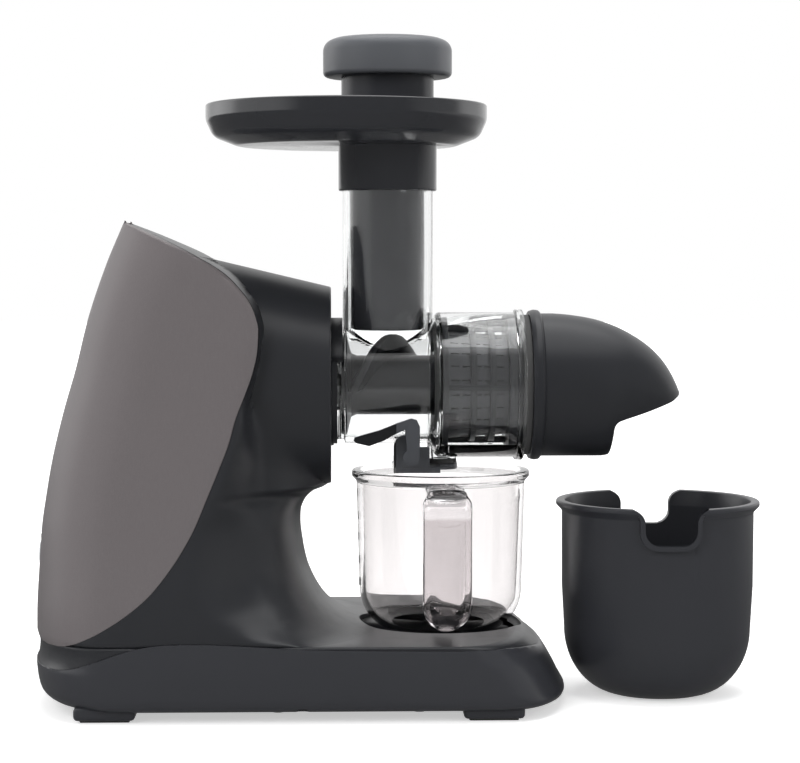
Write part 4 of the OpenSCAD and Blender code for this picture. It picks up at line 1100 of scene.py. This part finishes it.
@dataclass
class DrumLine:
    """The clear bowl with its chute, the auger inside it and the pulp hood on its end."""

    shop: Workshop
    axis: float = 171.4
    bowl: float = 32.0
    big: float = 40.0
    chute_x: float = -6.85
    chute: float = 24.8
    chute_wall: float = 3.0
    flight: float = 28.0
    pitch: float = 82.0

    @property
    def centre(self) -> tuple[float, float, float]:
        """A point of the drum line."""
        return (0.0, 0.0, self.axis)

    def build_bowl(self) -> None:
        """Builds the clear bowl: drum, chute, nozzle and lugs, then its hollows."""
        outer = rounded([(0, -36.8), (30, -36.8, 0.4), (30, -30.9, 0.2), (self.bowl, -30.4, 0.3), (self.bowl, 15.6, 1),
                         (self.big - 1.6, 18.8, 1.5), (self.big, 20.6, 1), (self.big, 62.6), (self.big + 1.6, 63.2, 0.4),
                         (self.big + 1.6, 67.2, 0.5), (self.big - 0.9, 67.2, 0.3), (self.big - 0.9, 65), (0, 65)], 4)
        piece = turned(outer, self.centre, Turn.DRUM, 128)
        chute_at = (self.chute_x, 0, 0)
        carve(piece, turned([(0, self.axis), (self.chute, self.axis), (self.chute, self.axis + 132.6),
                             (0, self.axis + 132.6)], chute_at, steps=96), Cut.ADD)
        carve(piece, turned([(0, 131), (8, 131), (8, 143), (0, 143)], (23, 0, 0), steps=48), Cut.ADD)
        for y in (-14.4, 11):
            carve(piece, block((1.6, y, 130.2), (9, y + 3.4, 144.2), 1.2, 3), Cut.ADD)
        inner = rounded([(0, -33.4), (self.bowl - 3.2, -33.4, 1), (self.bowl - 3.2, 15.8, 1), (self.big - 4.2, 21, 1),
                         (self.big - 2.7, 22), (self.big - 2.7, 70), (0, 70)], 4)
        carve(piece, turned(inner, self.centre, Turn.DRUM, 128), Cut.TAKE)
        bore = self.chute - self.chute_wall
        carve(piece, turned([(0, self.axis), (bore, self.axis), (bore, 320), (0, 320)], chute_at, steps=96), Cut.TAKE)
        carve(piece, turned([(0, 120), (5, 120), (5, 142), (0, 142)], (23, 0, 0), steps=48), Cut.TAKE)
        carve(piece, turned([(0, -45), (12.2, -45), (12.2, -30), (0, -30)], self.centre, Turn.DRUM, 64), Cut.TAKE)
        soften(piece, 0.4, 2, 50)
        settle(piece, "clear_bowl", 35)
        self.shop.hand_over(piece, CLEAR, "bowl", "clear", ["juicing_bowl"])

    def build_strainer(self) -> None:
        """Refines the strainer's cage and seal."""
        cage = refined("strainer_frame", "strainer_cage", 0.25)
        self.shop.hand_over(cage, CAGE_BLACK, "bowl", "dark", ["strainer_frame"])
        seal = refined("strainer_seal", "strainer_gasket", 0.35)
        self.shop.hand_over(seal, RUBBER, "bowl", "rubber", ["strainer_seal"])

    def turn_at(self, x: float) -> float:
        """Turn of the flight in radians at a place along the drum line."""
        if x < 20:
            return -(x + 4.4) * math.tau / self.pitch
        return -24.4 * math.tau / self.pitch - math.radians((x - 20) * 360 / 34 + (x - 20) ** 2 * 0.06)

    def build_auger(self) -> None:
        """Builds the auger: a turned core and a lofted flight whose pitch shortens towards the nose."""
        core_line: Table = ((-32, 16.3), (20, 16.3), (24, 17), (57, 21.5), (64, 22))
        tip_line: Table = ((-32, self.flight), (18, self.flight), (23, self.flight - 0.1), (57.5, 25.8), (64, 25.4))
        rows = []
        x = -26.0
        while x <= 59.0:
            foot = 5.5 + (3.2 - 5.5) * ease((x - 14) / 10)
            crest = 2.4 + (1.5 - 2.4) * ease((x - 14) / 10)
            root, tip, a = curve(core_line, x) - 2, curve(tip_line, x), self.turn_at(x)
            soft = min(1.0, crest * 0.6)
            outline = ((root, -foot), (root + 3.2, -foot * 0.8), (tip - 4, -crest - 0.5), (tip - soft, -crest),
                       (tip - soft * 0.3, -crest + soft * 0.3), (tip, -crest + soft), (tip, crest - soft),
                       (tip - soft * 0.3, crest - soft * 0.3), (tip - soft, crest), (tip - 4, crest + 0.5),
                       (root + 3.2, foot * 0.8), (root, foot))
            rows.append([(x + w, -r * math.sin(a), self.axis + r * math.cos(a)) for r, w in outline])
            x += 0.85
        piece = shell(rows)
        close_up(piece)
        core = rounded([(0, -32.6), (27, -32.6, 0.8), (27.6, -29.4, 0.8), (17.6, -27, 1), (16.3, -24), (16.3, 20, 6),
                        (17, 24), (21.5, 57), (22, 62, 1), (20, 65.4, 1), (0, 65.4)], 5)
        carve(piece, turned(core, self.centre, Turn.DRUM, 96), Cut.ADD)
        settle(piece, "auger", 40)
        self.shop.hand_over(piece, AUGER_BLACK, "auger", "dark", ["auger_screw"])

    def build_hood(self) -> None:
        """Builds the pulp hood: a turned rim with a lofted beak and straight skirt, hollowed and cut open underneath.
        """
        rim = rounded([(0, 70.7), (40.6, 70.7, 0.8), (41.5, 73.4, 3), (41.2, 76.2, 2), (39.3, 77.6, 0.6), (0, 77.6)], 6)
        piece = turned(rim, self.centre, Turn.DRUM, 128)
        carve(piece, self.hood_skin(0.0, 76.0), Cut.ADD)
        carve(piece, self.hood_skin(2.6, 60.0), Cut.TAKE)
        mouth = rounded([(113.2, 100), (115.3, 152.2, 5), (134.6, 158.2, 30), (148.5, 162.9, 12), (160, 169.8), (175, 170),
                         (175, 100)], 8)
        carve(piece, extruded(mouth, (-60, 60), side_on), Cut.TAKE)
        soften(piece, 0.5, 3, 50)
        settle(piece, "hood", 38)
        self.shop.hand_over(piece, HOOD_CHARCOAL, "hood", "housing", ["pulp_hood"])

    def hood_skin(self, inset: float, start: float) -> bpy.types.Object:
        """Lofts a skin of the hood: a beak above that blends into a straight drum below.

        Args:
            inset: How far the skin lies inside the outer one.
            start: Where it starts along the drum line.
        Returns:
            The closed solid.
        """
        radius, level, length, droop = 39.4 - inset, 84.0, 70.5 - inset, 4.2
        xs = [start, 78.0, 81.0] + [level + length * math.sin(math.pi / 2 * i / 48) for i in range(48)]
        rows = []
        for x in xs:
            u = clamp((x - level) / length)
            wide = radius * (1 - u ** 2.2) ** (1 / 2.2)
            deep = radius * (1 - (0.98 * u) ** 2.2) ** (1 / 2.2)
            centre = -droop * u * u
            high = max(0.15, curve(BEAK, x + inset) - inset - centre)
            drum = 1 - ease((x - 110) / 12)
            row = []
            for i in range(96):
                a = math.tau * i / 96
                low = ease((0.35 - math.cos(a)) / 0.9) * drum
                y = wide * math.sin(a)
                z = centre + (high if math.cos(a) > 0 else deep) * math.cos(a)
                row.append((x, y + (radius * math.sin(a) - y) * low, self.axis + z + (radius * math.cos(a) - z) * low))
            rows.append(row)
        piece = shell(rows)
        close_up(piece)
        return piece

    def build(self) -> None:
        """Builds the pieces along the drum line."""
        self.build_auger()
        self.build_strainer()
        self.build_bowl()
        self.build_hood()


# ---------------------------------------------------------------- tray and pusher


@dataclass
class FeedStack:
    """The feed tray on the chute and the pusher that runs in it."""

    shop: Workshop
    tray_x: float = -29.4
    tray: float = 77.0
    rim: float = 325.0
    chute_x: float = -6.85
    cap: float = 35.25

    def build_tray(self) -> None:
        """Builds the glossy tray with its collar."""
        low = 302.5
        wall = 3.0
        line = [(0, low), (self.tray - 17, low, 10), (self.tray - 4, low + 5, 8), (self.tray, low + 14, 8),
                (self.tray, self.rim, 1.3), (self.tray - wall, self.rim, 1.3), (self.tray - wall, low + 15, 6),
                (self.tray - wall - 4, low + 7.4, 6), (self.tray - 19, low + 3.1, 8), (0, low + 3.1)]
        piece = turned(rounded(line, 8), (self.tray_x, 0, 0), steps=160)
        collar = rounded([(0, 278), (27, 278, 1), (27, 304), (0, 304)], 4)
        carve(piece, turned(collar, (self.chute_x, 0, 0), steps=96), Cut.ADD)
        carve(piece, turned([(0, 270), (25.2, 270), (25.2, 304.4), (0, 304.4)], (self.chute_x, 0, 0), steps=96), Cut.TAKE)
        carve(piece, turned([(0, 290), (21.9, 290), (21.9, 330), (0, 330)], (self.chute_x, 0, 0), steps=96), Cut.TAKE)
        soften(piece, 0.3, 2, 50)
        settle(piece, "tray", 35)
        self.shop.hand_over(piece, TRAY_LIT_BLACK, "tray", "gloss_dark", ["feed_tray"])

    def build_pusher(self) -> None:
        """Builds the pusher's stem and its dished cap."""
        stem = rounded([(0, 201.8), (19.9, 201.8, 2.5), (20.6, 306.3), (25.3, 306.3, 0.5), (25.3, 340), (22.6, 340),
                        (22.6, 309), (17.4, 309), (17.4, 204.6), (0, 204.6)], 5)
        piece = turned(stem, (self.chute_x, 0, 0), steps=96)
        settle(piece, "pusher_tube", 35)
        self.shop.hand_over(piece, STEM_LIT_BLACK, "pusher", "gloss_dark", ["pusher_stem"])
        r = self.cap
        cap = rounded([(0, 351), (22, 351, 0.4), (22, 340), (r, 340, 2.6), (r, 358.5, 6.5), (r - 7.2, 361.3, 6), (r - 14, 360.2, 8),
                       (14, 358.6, 14), (0, 358)], 8)
        knob = turned(cap, (self.chute_x, 0, 0), steps=128)
        settle(knob, "pusher_knob", 35)
        self.shop.hand_over(knob, CAP_LIT_GREY, "pusher", "gloss_dark", ["pusher_cap"])

    def build(self) -> None:
        """Builds tray and pusher."""
        self.build_tray()
        self.build_pusher()


# ---------------------------------------------------------------- jug and cup


@dataclass
class Vessels:
    """The clear juice jug with its handle and marks, and the dark pulp cup."""

    shop: Workshop
    jug_x: float = 22.4
    jug: float = 46.5
    jug_low: float = 34.62
    jug_top: float = 124.8
    jug_wall: float = 3.0
    cup_x: float = 143.1
    cup: float = 53.0
    cup_top: float = 107.5
    cup_wall: float = 2.6

    def build_jug(self) -> None:
        """Builds the jug: a turned wall with a rolled rim, a strap handle and graduation marks."""
        r, low, top, wall = self.jug, self.jug_low, self.jug_top, self.jug_wall
        line = [(0, low), (r - 2.4, low, 24), (r, top - 6, 3), (r + 2.5, top - 3.4, 0.9), (r + 2.5, top, 1.2),
                (r - wall + 0.3, top, 1.2), (r - wall, top - 8, 4), (r - wall - 2.4, low + wall, 21), (0, low + wall)]
        piece = turned(rounded(line, 10), (self.jug_x, 0, 0), steps=160)
        settle(piece, "jug", 32)
        self.shop.hand_over(piece, JUG_CLEAR, "jug", "clear", ["juice_jug"])
        handle = self.handle()
        inside = rounded([(0, low), (r - 2.4, low, 24), (r, top - 6, 3), (r + 2.5, top - 3.4, 0.9), (r + 2.5, top), (0, top)], 10)
        carve(handle, turned([(a + 0.06 if a else 0.0, z) for a, z in inside], (self.jug_x, 0, 0), steps=160), Cut.TAKE)
        settle(soften(handle, 0.8, 4, 50), "jug_handle", 32)
        self.shop.hand_over(handle, HANDLE_SHADED_CLEAR, "jug", "clear", ["juice_jug"])
        marks = [block((self.jug_x - r + 0.1 + (top - z) * 0.02, -1.2, z - 2.2),
                       (self.jug_x - r + 0.9 + (top - z) * 0.02, 1.2, z + 2.2), 0.2, 2) for z in (112, 99.2, 87.8, 74.7, 62.5)]
        for mark in marks[1:]:
            carve(marks[0], mark, Cut.ADD)
        self.shop.hand_over(settle(marks[0], "jug_marks"), LEVER_LIT_AND_MARK_GREY, "jug", "clear", ["juice_jug"])

    def handle(self) -> bpy.types.Object:
        """Lofts the strap handle: a loop in the end view that narrows to a round lower end in the front view."""
        corners = rounded([(-40, 117.6), (-79, 117.6, 9), (-79, 47.6, 15), (-40, 49)], 14)
        path = [corners[0]]
        for a, b in zip(corners, corners[1:]):
            steps = max(1, round(math.dist(a, b) / 1.6))
            path += [(a[0] + (b[0] - a[0]) * k / steps, a[1] + (b[1] - a[1]) * k / steps) for k in range(1, steps + 1)]
        rows = []
        for i, (y, z) in enumerate(path):
            before, after = path[max(i - 1, 0)], path[min(i + 1, len(path) - 1)]
            along = Vector((after[0] - before[0], after[1] - before[1])).normalized()
            half = math.sqrt(12.8 ** 2 - min(12.2, max(0.0, 60.4 - z)) ** 2) - 2.2 * ease((z - 113.5) / 4)
            row = []
            for k in range(40):
                a = math.tau * k / 40
                c, d = math.cos(a), math.sin(a)
                side = half * math.copysign(abs(c) ** 0.55, c)
                out = 3.0 * math.copysign(abs(d) ** 0.7, d)
                row.append((self.jug_x + side, y + along.y * out, z - along.x * out))
            rows.append(row)
        piece = shell(rows)
        close_up(piece)
        ends = 20
        low = [(self.jug_x - 9.2 * math.cos(math.pi * i / ends), 60 - 9.2 * math.sin(math.pi * i / ends)) for i in range(ends + 1)]
        high = [(self.jug_x + 9.2 - 18.4 * i / ends, 105 + 3 * (1 - 4 * (i / ends - 0.5) ** 2) * -1) for i in range(ends + 1)]
        carve(piece, extruded(low + high, (-90, -79.8), side_on), Cut.TAKE)
        return piece

    def notch(self, grow: float) -> list[Point]:
        """Outline of the U notch in the cup's wall in the side view, grown outwards."""
        x, z = self.cup_x, self.cup_top
        half = 14 + grow
        return rounded([(x - 23 - grow, z + 30), (x - 23 - grow, z + 1.4, 2.2), (x - half, z - 3.4, 7),
                        (x - half, z - 19.5 - grow, 8 + grow * 0.6), (x + half, z - 19.5 - grow, 8 + grow * 0.6),
                        (x + half, z - 3.4, 7), (x + 23 + grow, z + 1.4, 2.2), (x + 23 + grow, z + 30)], 10)

    def build_cup(self) -> None:
        """Builds the pulp cup with a rolled lip that dips round its two notches."""
        r, top, wall = self.cup, self.cup_top, self.cup_wall
        body = [(0, 0), (21.5, 0)]
        body += [(r - 31.5 + 30 * math.sin(math.pi / 2 * i / 16), 36 - 36 * math.cos(math.pi / 2 * i / 16)) for i in range(1, 17)]
        body += rounded([(r - 0.2, 60), (r, top - 6, 2), (r + 3.2, top - 2.6, 0.9), (r + 3.2, top, 1.1), (r - wall + 1, top, 1.1),
                         (r - wall, top - 9, 3), (r - wall - 0.3, 50)], 6)
        body += [(r - 31.5 + (30 - wall) * math.sin(math.pi / 2 * i / 16), wall + (36 - wall) * (1 - math.cos(math.pi / 2 * i / 16)))
                 for i in reversed(range(1, 17))]
        body += [(0, wall)]
        piece = turned(body, (self.cup_x, 0, 0), steps=160)
        band = turned([(r - 1.6, 66), (r + 2.6, 66), (r + 2.6, top - 0.4), (r - 1.6, top - 0.4), (r - 1.6, 66)],
                      (self.cup_x, 0, 0), steps=160)
        carve(band, extruded(self.notch(2.6), (-100, 100), side_on), Cut.KEEP)
        carve(piece, band, Cut.ADD)
        carve(piece, extruded(self.notch(0), (-101, 101), side_on), Cut.TAKE)
        soften(piece, 0.7, 3, 50)
        settle(piece, "cup", 38)
        self.shop.hand_over(piece, CUP_LIT_CHARCOAL, "cup", "housing", ["pulp_cup"])

    def build(self) -> None:
        """Builds jug and cup."""
        self.build_jug()
        self.build_cup()


# ---------------------------------------------------------------- small parts


@dataclass
class SmallParts:
    """Finishes for the parts whose CAD shape stays, and softened copies of those that show."""

    shop: Workshop
    arm_x: float = -3.0

    def build(self) -> None:
        """Dresses every remaining node."""
        softened = (
            ("lock_ring", "bayonet_ring", 0.35, CHARCOAL, "machine", "dark"),
            ("control_bezel", "bezel", 0.5, GLOSS_BLACK, "machine", "gloss_dark"),
            ("start_button", "start_key_top", 0.5, BUTTON_GREY, "start_key", "button"),
            ("reverse_button", "reverse_key_top", 0.5, BUTTON_GREY, "reverse_key", "button"),
            ("foot_pads", "pads", 0.5, RUBBER, "machine", "rubber"),
            ("hood_seal", "hood_gasket", 0.5, RUBBER, "hood", "rubber"),
            ("bottom_plate", "floor_plate", 0.3, BASE_CHARCOAL, "machine", "base"),
            ("inlet_gland", "gland", 0.4, RUBBER, "machine", "rubber"),
        )
        for node, name, width, finish, body, slot in softened:
            self.shop.hand_over(refined(node, name, width), finish, body, slot, [node])
        # The lever's rear gets the lighter grey, its finger the gloss black: painted light on one moulding.
        behind = block((self.arm_x, -60, 90), (60, 60, 200))
        lever = carve(refined("drip_stop_lever", "drip_lever", 0.6), behind, Cut.KEEP)
        self.shop.hand_over(settle(lever, "drip_lever"), LEVER_LIT_AND_MARK_GREY, "drip_stop", "gloss_dark", ["drip_stop_lever"])
        ahead = block((-60, -60, 90), (self.arm_x, 60, 200))
        arm = carve(refined("drip_stop_lever", "drip_arm", 0.9), ahead, Cut.KEEP)
        self.shop.hand_over(settle(arm, "drip_arm"), GLOSS_BLACK, "drip_stop", "gloss_dark", ["drip_stop_lever"])
        finishes = {
            STEEL: ("base_screws", "gearbox_screws", "motor_bearings", "gear_bearings", "motor_shaft", "motor_pinion", "layshaft",
                    "layshaft_pinion", "output_shaft", "drive_coupling", "auger_drive_shaft", "auger_nose_pin", "drip_stop_pin",
                    "button_springs", "motor_end_plate"),
            SCREEN_STEEL: ("strainer_mesh",),
            CAN_STEEL: ("motor_can",),
            DARK_STEEL: ("rotor_core",),
            FERRITE: ("motor_magnets",),
            COPPER: ("rotor_windings", "commutator"),
            CARBON: ("carbon_brushes",),
            GEAR_WHITE: ("layshaft_wheel", "output_wheel", "nose_bearing"),
            BOARD_GREEN: ("control_board", "power_board"),
            INNER_BLACK: ("brush_holders", "gearbox_case", "gearbox_cover", "cooling_fan"),
            RUBBER: ("shaft_seal", "drip_stop_plug"),
            LENS: ("indicator_lights",),
        }
        for finish, nodes in finishes.items():
            for node in nodes:
                self.shop.finish_node(node, finish)


# ---------------------------------------------------------------- studio


@dataclass
class Studio:
    """Floor, backdrop, lamps and camera."""

    lens: float = 99.6
    eye: tuple[float, float, float] = (-36.0, -1220.0, 242.0)
    aim: tuple[float, float, float] = (0.0, 0.0, 173.2)
    ambient: float = 0.55

    def camera(self) -> None:
        """Adds the camera."""
        data = bpy.data.cameras.new("camera")
        data.lens = self.lens
        data.sensor_width = 36.0
        data.clip_end = 50.0
        camera = bpy.data.objects.new("camera", data)
        bpy.context.scene.collection.objects.link(camera)
        camera.location = Vector(self.eye) * MM
        look = Vector(self.aim) - Vector(self.eye)
        camera.rotation_euler = look.to_track_quat("-Z", "Y").to_euler()
        bpy.context.scene.camera = camera

    def world(self) -> None:
        """Lights the scene evenly and shows white to the camera; gloss sees a dark room with bright sides, back and
        top.
        """
        world = bpy.data.worlds.new("studio")
        bpy.context.scene.world = world
        world.use_nodes = True
        board = Board(world.node_tree)
        seen, gloss = board.sight()
        split = board.add("SeparateXYZ", {}, {0: board.add("TexCoord", {}, {}).outputs["Generated"]})
        depth = Value(board, split.outputs[1])
        height = Value(board, split.outputs[2])
        across = Value(board, split.outputs[0])
        behind = depth.step(0.1, 0.35)
        ahead = (depth * -1).step(0.35, 0.8)
        beside = (across * -1).step(0.55, 0.9) * 1.0 + across.step(0.7, 0.95) * 0.4
        above = height.step(0.74, 0.88)
        room = behind * 0.9 + ahead * 0.1 + beside + above * 1.8 + 0.04
        strength = (seen.maths("MAXIMUM", gloss * room)).maths("MAXIMUM", (1 - seen.maths("MAXIMUM", gloss)) * self.ambient)
        sky = board.add("Background", {}, {"Color": (1, 1, 1, 1), "Strength": strength})
        board.add("OutputWorld", {}, {"Surface": sky.outputs[0]})

    def floor(self) -> None:
        """Adds a white floor that keeps the shadow."""
        deselect()
        bpy.ops.mesh.primitive_plane_add(size=14)
        floor = bpy.context.object
        floor.name = "floor"
        made = bpy.data.materials.new("studio_floor")
        made.use_nodes = True
        board = Board(made.node_tree)
        seen, mirrored = board.sight()
        vector, x, y, _ = board.place()
        far = (x * x + y * y).maths("SQRT").step(0.55, 1.3)
        plain = board.add("BsdfDiffuse", {}, {"Color": (0.86, 0.86, 0.86, 1)})
        glow = board.add("Emission", {}, {"Color": (1, 1, 1, 1), "Strength": seen * (far * 0.6 + 0.5)})
        both = board.add("AddShader", {}, {0: plain.outputs[0], 1: glow.outputs[0]})
        dim = board.add("Emission", {}, {"Color": (1, 1, 1, 1), "Strength": far * 0.5 + 0.16})
        mixed = board.add("MixShader", {}, {0: mirrored, 1: both.outputs[0], 2: dim.outputs[0]})
        board.add("OutputMaterial", {}, {"Surface": mixed.outputs[0]})
        floor.data.materials.append(made)

    def lamp(self, name: str, at: Sequence[float], aim: Sequence[float], size: tuple[float, float], watts: float,
             colour: tuple[float, float, float] = (1, 1, 1)) -> None:
        """Adds a soft box.

        Args:
            name: Its name.
            at: Its place in metres.
            aim: The point that it faces.
            size: Width and height in metres.
            watts: Its power.
            colour: Its colour.
        """
        data = bpy.data.lights.new(name, "AREA")
        data.shape = "RECTANGLE"
        data.size, data.size_y = size
        data.energy = watts
        data.color = colour
        lamp = bpy.data.objects.new(name, data)
        bpy.context.scene.collection.objects.link(lamp)
        lamp.location = at
        lamp.visible_glossy = False
        lamp.rotation_euler = (Vector(aim) - Vector(at)).to_track_quat("-Z", "Y").to_euler()

    def build(self) -> None:
        """Builds the studio."""
        self.camera()
        self.world()
        self.floor()
        middle = (0, 0, 0.17)
        self.lamp("key", (-1.1, -1.3, 1.1), middle, (0.7, 1.2), 16)
        self.lamp("fill", (1.2, -1.2, 0.8), middle, (0.5, 1.0), 7)
        self.lamp("top", (0.1, 0.1, 1.6), middle, (1.2, 0.9), 18)
        bpy.context.scene.view_settings.view_transform = "Standard"


def main() -> None:
    """Builds every sub-assembly in order."""
    logging.basicConfig(level=logging.INFO, format="%(message)s", stream=sys.stdout)
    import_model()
    shop = Workshop()
    Studio().build()
    for assembly in (Housing(shop), DrumLine(shop), FeedStack(shop), Vessels(shop), SmallParts(shop)):
        assembly.build()
        LOG.info("%s done", type(assembly).__name__)
    LOG.info("%d pieces", shop.count)
    deselect()


if __name__ == "__main__":
    main()
